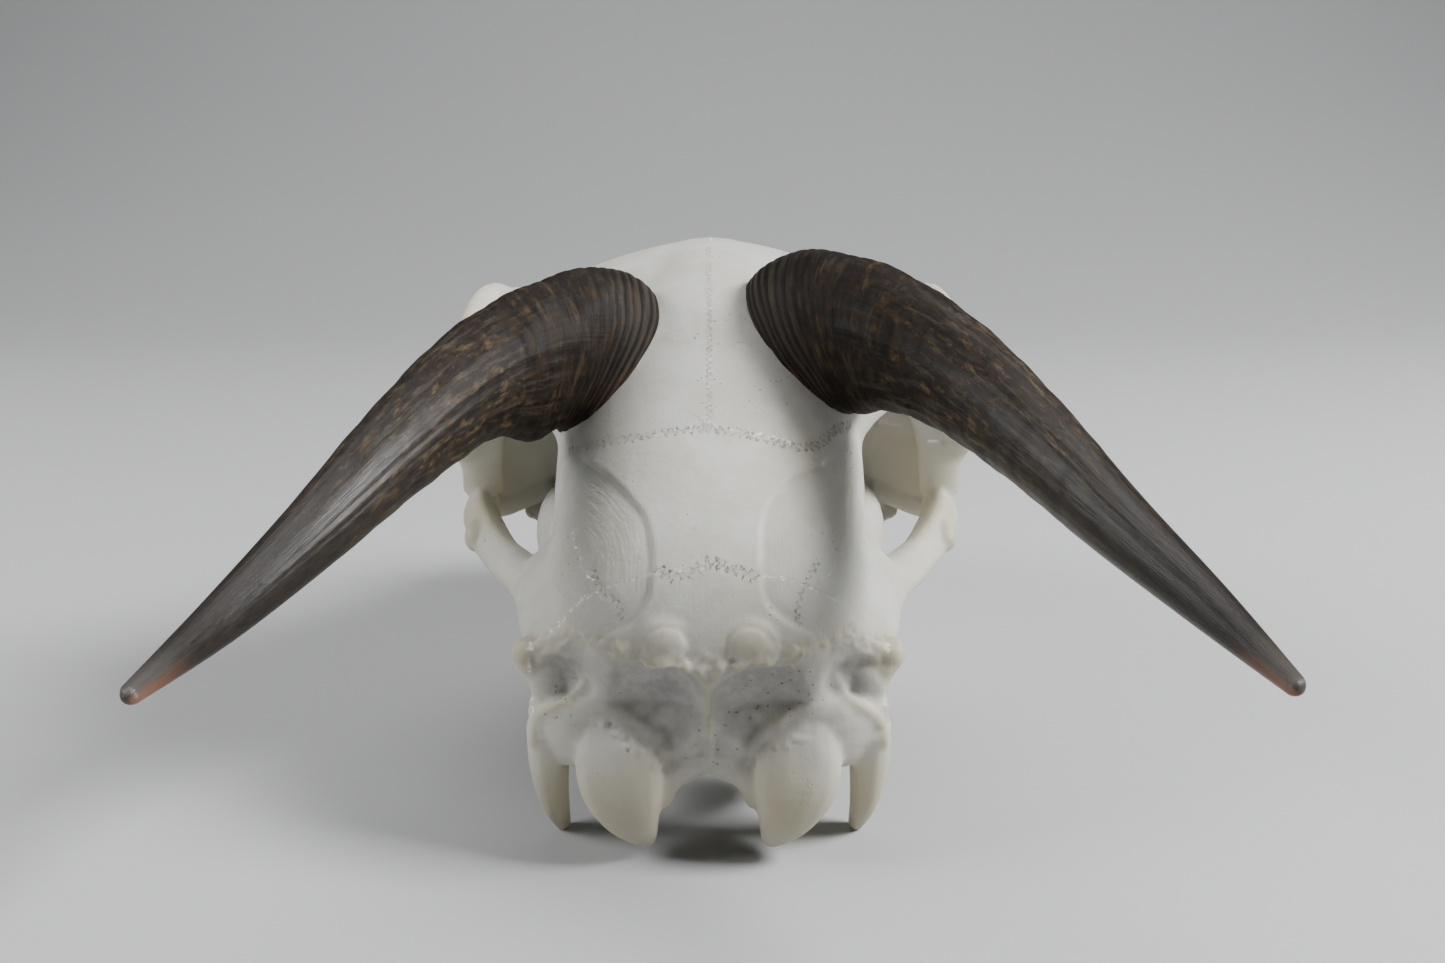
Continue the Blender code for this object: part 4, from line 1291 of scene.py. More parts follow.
    def work(self, line: Line, view: PhotoView) -> None:
        """Raises, cuts or roughens a line.

        Args:
            line: The line.
            view: The photograph's camera.
        """
        for side, pixels in zip(BOTH, line.runs):
            path = self.seen_path(pixels, view)
            reach = line.fall if line.stroke is Stroke.STEP else line.width * 2.6
            chosen, distance, across, along = self.near_path(path, reach * MM)
            distance, across = distance / MM, across / MM
            length = max(along.max(), 1e-6)
            ends = np.clip(np.minimum(along, length - along) / (line.taper * length + 1e-9), 0, 1)
            band = np.exp(-((distance / line.width) ** 2))
            if line.stroke is Stroke.STEP:
                shape = 0.5 * (1 + np.tanh(across / line.width * side))
                shape *= np.clip(1 - distance / line.fall, 0, 1) ** 1.5
                self.lift[chosen] -= line.height * shape * ends
            elif line.stroke is Stroke.ROUGH:
                shape = 0.8 * self.noise(chosen, 2.1) + 0.9 * self.noise(chosen, 1.1, 7.0)
                self.lift[chosen] += line.height * shape * band * ends
            else:
                self.lift[chosen] += line.height * band * ends
            self.cream[chosen] = np.maximum(self.cream[chosen], line.tint * band)

    def draw_seam(self, path: np.ndarray, seam: Seam) -> None:
        """Writes a suture's coordinates onto the points near it, and cuts its shallow groove.

        Args:
            path: The suture's line, in metres.
            seam: The suture.
        """
        chosen, distance, across, along = self.near_path(path, self.reach * MM)
        nearer = distance / MM < np.abs(self.seam[chosen, 0])
        nearer &= (along > 0.2 * MM) & (along < along.max() - self.reach * MM)
        chosen, across, along = chosen[nearer], across[nearer], along[nearer]
        self.seam[chosen, 0] = across / MM / seam.swing
        self.seam[chosen, 1] = along / MM
        self.seam[chosen, 2] = seam.strength
        zigzag = np.abs(((along / MM / 1.5) % 2) - 1) * 2 - 1
        groove = np.exp(-(((across / MM - 0.6 * seam.swing * zigzag) / 0.4) ** 2))
        self.lift[chosen] -= self.groove * seam.strength * groove

    def blush(self, patch: Blush) -> None:
        """Tints a soft patch on both sides: cream, or grey painted shade.

        Args:
            patch: The patch.
        """
        # Grey patches are painted shade.
        painted = self.cream if patch.tone is Tone.CREAM else self.grey
        for side in BOTH:
            centre = np.array(at((side * patch.centre[0], *patch.centre[1:])))
            distance = np.linalg.norm(self.points - centre, axis=1) / (patch.radius * MM)
            np.maximum(painted, patch.amount * np.clip(1.3 - distance, 0, 1), out=painted)

    def settle(self) -> None:
        """Moves the points by what the strokes raised and cut."""
        self.points += self.normals * (self.lift * MM)[:, None]
        self.obj.data.vertices.foreach_set("co", self.points.ravel())
        self.obj.data.update()
        self.read_normals()
        self.lift[:] = 0.0

    def paint(self, obj: bpy.types.Object, tree: KDTree) -> None:
        """Writes the painted values of the nearest points onto a cut bone.

        Args:
            obj: The cut bone.
            tree: The whole bone's points.
        """
        near = np.array([tree.find(vert.co)[1] for vert in obj.data.vertices])
        # grey and hollow carry painted shade to the finish.
        painted = {"cream": self.cream, "grey": self.grey, "hollow": self.hollow, "wear": self.wear}
        for name, values in painted.items():
            write(obj, name, values[near])
        for name, values in (("seam", self.seam), ("grain", self.grain)):
            write(obj, name, values[near])


def balanced(points: np.ndarray) -> KDTree:
    """Puts points in a tree that finds the nearest.

    Args:
        points: The points, in rows.

    Returns:
        The tree, which gives each point's row.
    """
    tree = KDTree(len(points))
    for index, point in enumerate(points):
        tree.insert(point, index)
    tree.balance()
    return tree


def write(obj: bpy.types.Object, name: str, values: np.ndarray) -> None:
    """Writes a value or a vector for each point of an object.

    Args:
        obj: The object.
        name: The attribute's name.
        values: One number, or a row of three, for each point.
    """
    kind, field = ("FLOAT", "value") if values.ndim == 1 else ("FLOAT_VECTOR", "vector")
    attribute = obj.data.attributes.new(name, kind, "POINT")
    attribute.data.foreach_set(field, values.astype(np.float32).ravel())


@dataclass(frozen=True)
class BoneRegion:
    """A named bone's place: side-view outlines, with the first that holds a piece of bone taking it."""

    name: str
    paired: bool
    slabs: tuple[Slab, ...]

    def sides(self) -> tuple[tuple[str, int], ...]:
        """The node's endings and sides."""
        return (("_left", LEFT), ("_right", RIGHT)) if self.paired else (("", LEFT),)

    def solid(self, side: int) -> bpy.types.Object:
        """Makes the region's outlines one solid.

        Args:
            side: The animal's left (1) or right (-1).

        Returns:
            The solid.
        """
        solids = []
        for slab in self.slabs:
            clay = Clay()
            slab.draw(clay, side)
            solids.append(object_from(clay.bm, "region"))
        for extra in solids[1:]:
            combined(solids[0], extra, "UNION")
        return solids[0]


HALF_SPAN = 62.0
REGIONS = (
    BoneRegion(
        "nasal", True,
        (
            Slab(
                0, 13.6,
                ((121, 93.6), (134, 83), (150, 71), (161, 64), (182, 53), (182, 70), (150, 92), (121, 112)),
            ),
        ),
    ),
    BoneRegion(
        "premaxilla", True,
        (Slab(0, 30, ((148.5, 66), (168, 24), (160, 16), (160, -5), (200, -5), (200, 80), (148.5, 80))),),
    ),
    BoneRegion(
        "occipital", False,
        (
            Slab(-33.2, 33.2, ((-10, 38), (19.8, 38), (19.8, 62), (18.0, 84), (-10, 84))),
            Slab(-40, 40, ((-10, 5), (23.4, 5), (23.4, 44), (19.0, 48), (-10, 48))),
            Slab(-11.6, 11.6, ((10, 5), (44, 5), (44, 48), (10, 48))),
        ),
    ),
    BoneRegion(
        "parietal", False,
        (Slab(-HALF_SPAN, HALF_SPAN, ((5, 72), (24, 75), (44.4, 80), (44.4, 120), (5, 120))),),
    ),
    BoneRegion(
        "temporal", True,
        (
            Slab(0, HALF_SPAN, ((5, 10), (46, 10), (48, 74), (46, 84), (5, 84))),
            Slab(33, HALF_SPAN, ((36, 44), (64.4, 44), (64.4, 70), (36, 70))),
        ),
    ),
    BoneRegion(
        "zygomatic", True,
        (Slab(36.5, HALF_SPAN, ((60, 42), (100, 40), (122, 52), (123, 66), (99, 71), (84, 73), (60, 73))),),
    ),
    BoneRegion(
        "lacrimal", True,
        (Slab(16, HALF_SPAN, ((106, 72), (118, 64), (136, 70), (137, 86), (114, 92), (106, 84))),),
    ),
    BoneRegion(
        "maxilla", True,
        (
            Slab(
                0, HALF_SPAN,
                (
                    (70, -5), (176, -5), (176, 76), (124, 100),
                    (112, 70), (99, 58), (84, 50), (74, 46),
                ),
            ),
        ),
    ),
    BoneRegion(
        "frontal", True,
        (Slab(0, HALF_SPAN, ((40, 54), (62, 54), (76, 47), (140, 47), (140, 130), (40, 130))),),
    ),
)


FINE_VOXEL = 0.62


@dataclass
class Bone:
    """The whole bone: fused, carved, worked over, cut into its named bones and dressed."""

    view: PhotoView
    horns: tuple[HornPath, ...]
    forms: tuple[Form, ...] = (Braincase(), Muzzle(), Orbit(), CheekArch(), Nape())
    coarse_voxel: float = 1.25
    fine_voxel: float = FINE_VOXEL
    passage_voxel: float = 0.9
    coarse_smoothing: int = 8
    fine_smoothing: int = 6
    carved_smoothing: int = 2
    unevenness: float = 0.10
    grain_height: float = 0.035
    nape_centre: Point = (0, 10, 52)
    nape_size: Point = (24, 9, 13)
    streaked_width: float = 24.0
    hollow_passes: int = 14
    hollow_depth: float = 0.35
    wear_passes: int = 6

    def fuse(self) -> bpy.types.Object:
        """Makes the whole bone: masses, then what is carved from them, then the fine shapes.

        Returns:
            The bone, with one surface.
        """
        clay = Clay()
        for form in self.forms:
            form.draw(clay, "middle", "masses")
        for horn in self.horns:
            horn.core().draw(clay, horn.side)
        body = clay.fused("bone", self.coarse_voxel, self.coarse_smoothing)
        space = Clay()
        for form in self.forms:
            form.draw(space, "carved_middle", "carved")
        combined(body, space.fused("space", self.coarse_voxel, self.carved_smoothing), "DIFFERENCE")
        clay = Clay()
        for form in self.forms:
            form.draw(clay, "fine_middle", "fine")
        for side in BOTH:
            Orbit().rim().draw(clay, side)
        clay.take(body)
        body = clay.fused("bone", self.fine_voxel, self.fine_smoothing)
        space = Clay()
        Nape().passage.draw(space, LEFT)
        passage = space.fused("passage", self.passage_voxel, self.carved_smoothing)
        return without_scraps(combined(body, passage, "DIFFERENCE"))

    def work_over(self, body: bpy.types.Object) -> Surface:
        """Raises the fine forms, and paints the values that the finishes read.

        Args:
            body: The whole bone.

        Returns:
            The bone's surface, with its painted values.
        """
        surface = Surface(body)
        for line in LINES:
            surface.work(line, self.view)
        for seam in SEAMS:
            if seam.pixels:
                surface.draw_seam(surface.seen_path(seam.pixels, self.view), seam)
            for side in BOTH if seam.paired else (LEFT,):
                if seam.points:
                    surface.draw_seam(surface.laid_path(seam.points, side), seam)
        self.roughen(surface)
        self.lay_grain(surface)
        surface.settle()
        for patch in BLUSHES:
            surface.blush(patch)
        # The hollows' depth sets the painted shade in them; spread out, it sets the cream on the swellings.
        depths = surface.hollowness(self.hollow_passes)
        surface.hollow = np.clip(depths / (self.hollow_depth * MM), -1, 1)
        surface.wear = np.clip(surface.spread(surface.hollow, self.wear_passes), -1, 1)
        return surface

    def roughen(self, surface: Surface) -> None:
        """Gives the bone its slight unevenness, and the nape's hollows their coarser one.

        Args:
            surface: The bone's surface.
        """
        everywhere = np.arange(len(surface.points))
        surface.lift += self.unevenness * surface.noise(everywhere, 9.0)
        surface.lift += self.grain_height * surface.noise(everywhere, 2.2, 3.0)
        offset = (surface.points - np.array(at(self.nape_centre))) / (np.array(self.nape_size) * MM)
        zone = np.flatnonzero(np.linalg.norm(offset, axis=1) < 1.2)
        amount = np.clip(1.2 - np.linalg.norm(offset[zone], axis=1), 0, 0.6) / 0.6
        coarse = 0.30 * surface.noise(zone, 4.2, 11.0) + 0.12 * surface.noise(zone, 1.6, 5.0)
        surface.lift[zone] += amount * coarse

    def lay_grain(self, surface: Surface) -> None:
        """Writes the streaks' coordinates in the two temporal hollows, and raises the streaks.

        Args:
            surface: The bone's surface.
        """
        for side, pixels in ((LEFT, TEMPORAL_LEFT), (RIGHT, TEMPORAL_RIGHT)):
            path = surface.seen_path(pixels, self.view)
            chosen, distance, across, along = surface.near_path(path, self.streaked_width * MM)
            outside = (side * across) > 0
            chosen, distance, along = chosen[outside], distance[outside] / MM, along[outside] / MM
            ends = np.clip(np.minimum(along - 2, along.max() - 5 - along) / 8, 0, 1)
            mask = np.clip(distance / 2, 0, 1) * np.clip(1 - distance / 22, 0, 1) * ends
            surface.grain[chosen, 0] = distance
            surface.grain[chosen, 1] = along
            surface.grain[chosen, 2] = np.maximum(surface.grain[chosen, 2], mask)
            wavering = distance + 1.2 * surface.noise(chosen, 7.0, 2.0)
            streaks = [noise.noise((d / 1.3, a / 11, side)) for d, a in zip(wavering, along)]
            surface.lift[chosen] += self.grain_height * np.array(streaks) * mask

    def parted(self, body: bpy.types.Object) -> dict[str, bpy.types.Object]:
        """Cuts the bone into its named bones, which stay face to face.

        Args:
            body: The whole bone, of which the sphenoid is left.

        Returns:
            The bones by their nodes' names.
        """
        bones = {}
        for region in REGIONS:
            for suffix, side in region.sides():
                bone = copied(body, "bone_" + region.name + suffix)
                bones[region.name + suffix] = combined(bone, region.solid(side), "INTERSECT")
                combined(body, region.solid(side), "DIFFERENCE")
        body.name = "bone_sphenoid"
        bones["sphenoid"] = body
        return {name: without_scraps(bone) for name, bone in bones.items()}


@dataclass
class HornSheath:
    """A horn's sheath: rings crowded at its base, lengthwise fibres, and a thin rim on the forehead."""

    line: HornPath
    steps: int = 520
    sides: int = 128
    gap: float = 0.22
    tip: float = 1.6
    seed: int = 5
    first_ring: float = 0.8
    ringed_share: float = 0.6
    fibre_count: int = 12
    fibre_height: float = 0.022
    rim_height: float = 0.30

    def build(self, bone: bpy.types.Object, tree: BVHTree) -> bpy.types.Object:
        """Makes the sheath, its base cut to lie on the bone.

        Args:
            bone: The whole bone.
            tree: The bone's surface.

        Returns:
            The sheath.
        """
        rings = np.array([[tuple(p) for p in ring] for ring in self.line.rings(self.steps, self.sides)])
        centres = rings.mean(axis=1)
        strides = np.linalg.norm(np.diff(centres, axis=0), axis=1)
        length = np.concatenate([[0], np.cumsum(strides)]) / MM
        start = np.interp(self.exits(rings, tree), np.arange(self.steps + 1), length)
        fading = (1 - np.clip(length / length[-1], 0, 1)) ** 1.5
        along = length[:, None] - start[None, :] * fading[:, None]
        hoops, relief = self.relief(along, length)
        outward = rings - centres[:, None, :]
        reach = np.maximum(np.linalg.norm(outward, axis=2, keepdims=True), 1e-9)
        left = np.clip((length[-1] - length) / self.tip, 0, 1)
        blunt = np.sqrt(np.clip(1 - (1 - left) ** 2, 0.004, 1))[:, None, None]
        rings = centres[:, None, :] + outward * (blunt + relief[:, :, None] * MM / reach * blunt)
        clay = Clay()
        clay.loft([[Vector(p) for p in ring] for ring in rings])
        sheath = object_from(clay.bm, "sheath_" + self.line.name)
        swollen = copied(bone, "swollen")
        swell = swollen.modifiers.new("swell", "DISPLACE")
        swell.strength = self.gap * MM
        swell.mid_level = 0.0
        without_scraps(combined(sheath, applied(swollen), "DIFFERENCE"))
        self.paint(sheath, rings, along, length, hoops)
        return sheath

    def exits(self, rings: np.ndarray, tree: BVHTree) -> np.ndarray:
        """Finds where each lengthwise line of the sheath leaves the bone.

        Args:
            rings: The sheath's grid of points.
            tree: The bone's surface.

        Returns:
            A smooth row of ring numbers, one for each line.
        """
        found = []
        for k in range(self.sides):
            last = 0
            for i in range(0, self.steps // 3, 2):
                point, normal, _, _ = tree.find_nearest(Vector(rings[i, k]))
                if (Vector(rings[i, k]) - point).dot(normal) < 0:
                    last = i
            found.append(last)
        found = np.array(found, float)
        for _ in range(12):
            found = 0.5 * found + 0.25 * (np.roll(found, 1) + np.roll(found, -1))
        return found

    def relief(self, along: np.ndarray, length: np.ndarray) -> tuple[np.ndarray, np.ndarray]:
        """Works out the rings and fibres on the sheath's grid.

        Args:
            along: Each grid point's length from the rim, in millimetres.
            length: Each ring's length from the horn's root, in millimetres.

        Returns:
            The rings' heights and the whole relief, in millimetres.
        """
        rng = np.random.default_rng(self.seed + self.line.side)
        turn = np.arange(self.sides) * 2 * math.pi / self.sides
        total = length[-1]
        rings = np.zeros_like(along)
        wave = sum(rng.uniform(0.1, 0.3) * np.sin(n * turn + rng.uniform(0, 6.3)) for n in (2, 3, 5))
        place = self.first_ring
        while place < self.ringed_share * total:
            share = place / total
            depth = rng.uniform(0.6, 1.0) * (0.34 * math.exp(-share * 8) + 0.05)
            width = 0.24 + 2.4 * share
            centre = place + wave * (0.15 + 3.0 * share)
            rings -= depth * np.exp(-(((along - centre[None, :]) / width) ** 2))
            place += rng.uniform(0.7, 1.3) * (1.0 + 13.0 * share)
        swell = 0.22 * np.sin(along * 2 * math.pi / 13.0 + wave[None, :] * 3)
        height = rings + swell * np.clip(along / 10, 0, 1) * np.clip(1 - along / (0.7 * total), 0, 1)
        grown = np.clip((along - 8) / 20, 0, 1) * np.clip(1.15 - along / (0.8 * total), 0.1, 1)
        for _ in range(self.fibre_count):
            count = int(rng.integers(8, 30))
            drift = 0.8 * np.sin(along / rng.uniform(12, 30) + rng.uniform(0, 6.3))
            fibres = np.sin(count * turn[None, :] + rng.uniform(0, 6.3) + drift)
            height += self.fibre_height * grown * fibres
        height -= self.rim_height * np.clip(1 - along / 0.9, 0, 1) ** 2
        return rings, height * np.clip((total - length) / 14, 0.15, 1)[:, None]

    def paint(
        self,
        sheath: bpy.types.Object,
        rings: np.ndarray,
        along: np.ndarray,
        length: np.ndarray,
        hoops: np.ndarray,
    ) -> None:
        """Writes the values that the finish reads.

        Args:
            sheath: The sheath, cut to the bone.
            rings: The grid of points it was made from.
            along: Each grid point's length from the rim, in millimetres.
            length: Each ring's length from the horn's root, in millimetres.
            hoops: The rings' heights on the grid, in millimetres.
        """
        tree = balanced(rings.reshape(-1, 3))
        near = np.array([tree.find(vert.co)[1] for vert in sheath.data.vertices])
        ring, side = near // self.sides, near % self.sides
        turn = side * 2 * math.pi / self.sides
        write(sheath, "grain", np.stack([np.cos(turn), np.sin(turn), along[ring, side] / 10], axis=1))
        write(sheath, "share", length[ring] / length[-1])
        # The rings' depth, which the horn's finish paints as shade in the grooves.
        write(sheath, "groove", -hoops[ring, side])


@dataclass(frozen=True)
class CheekTooth:
    """A cheek tooth: its place and size, and how many lobes it has."""

    ahead: float
    across: float
    length: float
    width: float
    lobes: int


@dataclass
class ToothRow:
    """One side's six cheek teeth, folded between their lobes and worn to enamel crescents."""

    side: int
    teeth: tuple[CheekTooth, ...] = (
        CheekTooth(139.4, 19.8, 6.6, 6.4, 1),
        CheekTooth(132.0, 21.4, 7.8, 8.0, 1),
        CheekTooth(124.0, 23.0, 8.0, 9.6, 1),
        CheekTooth(114.2, 24.8, 11.4, 11.4, 2),
        CheekTooth(101.6, 26.2, 13.4, 12.4, 2),
        CheekTooth(87.8, 26.8, 14.2, 11.6, 2),
    )
    sides: int = 72
    levels: tuple[Pair, ...] = (
        (19, 0.88), (13, 0.96), (8, 1.0), (4, 1.02), (1.6, 1.02), (0.5, 1.0), (0.15, 0.97),
    )
    face_rings: int = 15
    fold: float = 0.2
    rib: float = 0.05

    def build(self, name: str) -> bpy.types.Object:
        """Makes the row as one piece.

        Args:
            name: The piece's name.

        Returns:
            The row, with its worn faces painted.
        """
        clay = Clay()
        for tooth in self.teeth:
            clay.loft(self.rings(tooth))
        obj = object_from(clay.bm, name)
        write(obj, "worn", np.array([float(vert.co.z < 0.9 * MM) for vert in obj.data.vertices]))
        return obj

    def rings(self, tooth: CheekTooth) -> list[list[Vector]]:
        """Runs rings down a tooth's wall and then in over its chewing face.

        Args:
            tooth: The tooth.

        Returns:
            The rings' points, in metres.
        """
        rings = [self.ring(tooth, up, swell, 1.0) for up, swell in self.levels]
        for step in range(1, self.face_rings):
            rings.append(self.ring(tooth, None, 0.95, 1 - step / self.face_rings))
        return rings

    def ring(self, tooth: CheekTooth, up: float | None, swell: float, inset: float) -> list[Vector]:
        """Makes one ring of a tooth.

        Args:
            tooth: The tooth.
            up: The ring's level, or None on the worn face, whose height follows the enamel's folds.
            swell: How wide the ring's outline is, as a share of the tooth's.
            inset: How far the ring reaches from the tooth's middle, as a share of its outline.

        Returns:
            The ring's points, in metres.
        """
        points = []
        for k in range(self.sides):
            q = 2 * math.pi * (k + 0.5) / self.sides
            c, s = math.cos(q), math.sin(q)
            on = squared(s, 0.6)
            fold = 1 - self.fold * (0.5 - 0.5 * math.cos(math.pi * tooth.lobes * (on + 1)))
            rib = 1 + self.rib * math.cos(2 * math.pi * tooth.lobes * on) * (c > 0)
            out = squared(c, 0.5) * (fold if tooth.lobes > 1 else 1) * rib
            x, y = out * inset, on * inset
            level = self.worn(tooth, x, y) if up is None else up
            across = tooth.across + 0.5 * tooth.width * swell * x
            points.append(at((self.side * across, tooth.ahead + 0.51 * tooth.length * swell * y, level)))
        return points

    def worn(self, tooth: CheekTooth, x: float, y: float) -> float:
        """The worn face's height: dentine lies a little in from the enamel, and each pit is a crescent.

        Args:
            tooth: The tooth.
            x: The place across the face, from -1 to 1.
            y: The place along the face, from -1 to 1.

        Returns:
            The height over the chewing plane, in millimetres.
        """
        lobe = (y * tooth.lobes + tooth.lobes + 1) % 2 - 1 if tooth.lobes > 1 else y
        crescent = abs(x + 0.12 - 0.35 * (1 - lobe * lobe)) - 0.02
        ridge = math.exp(-(((abs(crescent) - 0.16) / 0.07) ** 2)) * (abs(lobe) < 0.8)
        pit = math.exp(-((crescent / 0.10) ** 2)) * max(0.0, 1 - (lobe / 0.72) ** 2)
        edge = max(abs(x), abs(y))
        return 0.15 + 0.45 * max(0.0, 1 - (edge / 0.9) ** 4) - 0.35 * ridge + 1.3 * pit


# Finishes


Socket = bpy.types.NodeSocket
Value = Socket | float | tuple[float, ...]


class Nodes:
    """A material's nodes, made by short calls that return sockets."""

    def __init__(self, name: str) -> None:
        """Starts a material with its own shader.

        Args:
            name: The material's name.
        """
        self.material = bpy.data.materials.new(name)
        self.material.use_nodes = True
        self.tree = self.material.node_tree
        self.shader = self.tree.nodes["Principled BSDF"]

    def add(self, kind: str, inputs: dict | None = None, **settings: str) -> bpy.types.Node:
        """Adds a node.

        Args:
            kind: The node's type.
            inputs: Values or sockets by the inputs' names or numbers.
            **settings: The node's own settings.

        Returns:
            The node.
        """
        node = self.tree.nodes.new(kind)
        for key, value in settings.items():
            setattr(node, key, value)
        for key, value in (inputs or {}).items():
            self.feed(node.inputs[key], value)
        return node

    def feed(self, socket: Socket, value: Value) -> None:
        """Sets an input to a value, or links it to another node's output.

        Args:
            socket: The input.
            value: The value or the output.
        """
        if isinstance(value, bpy.types.NodeSocket):
            self.tree.links.new(value, socket)
        else:
            socket.default_value = value

    def place(self) -> Socket:
        """Object coordinates."""
        return self.add("ShaderNodeTexCoord").outputs["Object"]

    def attribute(self, name: str, output: str = "Fac") -> Socket:
        """A painted value of the piece."""
        return self.add("ShaderNodeAttribute", attribute_name=name).outputs[output]

    def parts(self, vector: Socket) -> list[Socket]:
        """A vector's three parts."""
        return list(self.add("ShaderNodeSeparateXYZ", {0: vector}).outputs)

    def scaled(self, vector: Socket, scale: Point) -> Socket:
        """A vector with each part multiplied."""
        return self.add("ShaderNodeVectorMath", {0: vector, 1: scale}, operation="MULTIPLY").outputs[0]

    def noise(
        self, vector: Socket, scale: float, detail: float = 3.0, rough: float = 0.55, warp: float = 0.0
    ) -> Socket:
        """Noise from 0 to 1."""
        values = {"Vector": vector, "Scale": scale, "Detail": detail, "Roughness": rough, "Distortion": warp}
        return self.add("ShaderNodeTexNoise", values).outputs["Fac"]

    def math(self, operation: str, *values: Value) -> Socket:
        """Works out a sum.

        Args:
            operation: The sum's kind.
            *values: Its one, two or three values.

        Returns:
            The result.
        """
        return self.add("ShaderNodeMath", dict(enumerate(values)), operation=operation).outputs[0]

    def times(self, *values: Value) -> Socket:
        """The product of two values."""
        return self.math("MULTIPLY", *values)

    def ramp(self, value: Value, low: float, high: float, start: float = 0.0, end: float = 1.0) -> Socket:
        """A smooth step from start at low to end at high."""
        values = {"Value": value, "From Min": low, "From Max": high, "To Min": start, "To Max": end}
        return self.add("ShaderNodeMapRange", values, interpolation_type="SMOOTHSTEP").outputs["Result"]

    def mix(self, share: Value, first: Value, second: Value) -> Socket:
        """Blends two colours.

        Args:
            share: How much of the second colour shows.
            first: The first colour.
            second: The second colour.

        Returns:
            The colour between them.
        """
        return self.add("ShaderNodeMix", data_type="RGBA", inputs={0: share, 6: first, 7: second}).outputs[2]

    def bump(self, height: Value, depth: float, normal: Socket | None = None) -> Socket:
        """Adds a bump.

        Args:
            height: The bump's height from 0 to 1.
            depth: What a height of 1 stands for, in metres.
            normal: Another bump below it.

        Returns:
            The bumped normal.
        """
        inputs = {"Height": height, "Distance": depth, "Strength": 1.0}
        if normal is not None:
            inputs["Normal"] = normal
        return self.add("ShaderNodeBump", inputs).outputs["Normal"]

    def finish(self, **inputs: Value) -> bpy.types.Material:
        """Feeds the shader.

        Args:
            **inputs: Values or sockets, with underscores for the spaces in the shader's names.

        Returns:
            The material.
        """
        for name, value in inputs.items():
            self.feed(self.shader.inputs[name.replace("_", " ")], value)
        return self.material


def rgb(red: float, green: float, blue: float) -> tuple[float, float, float, float]:
    """A colour by its linear parts."""
    return (red, green, blue, 1.0)


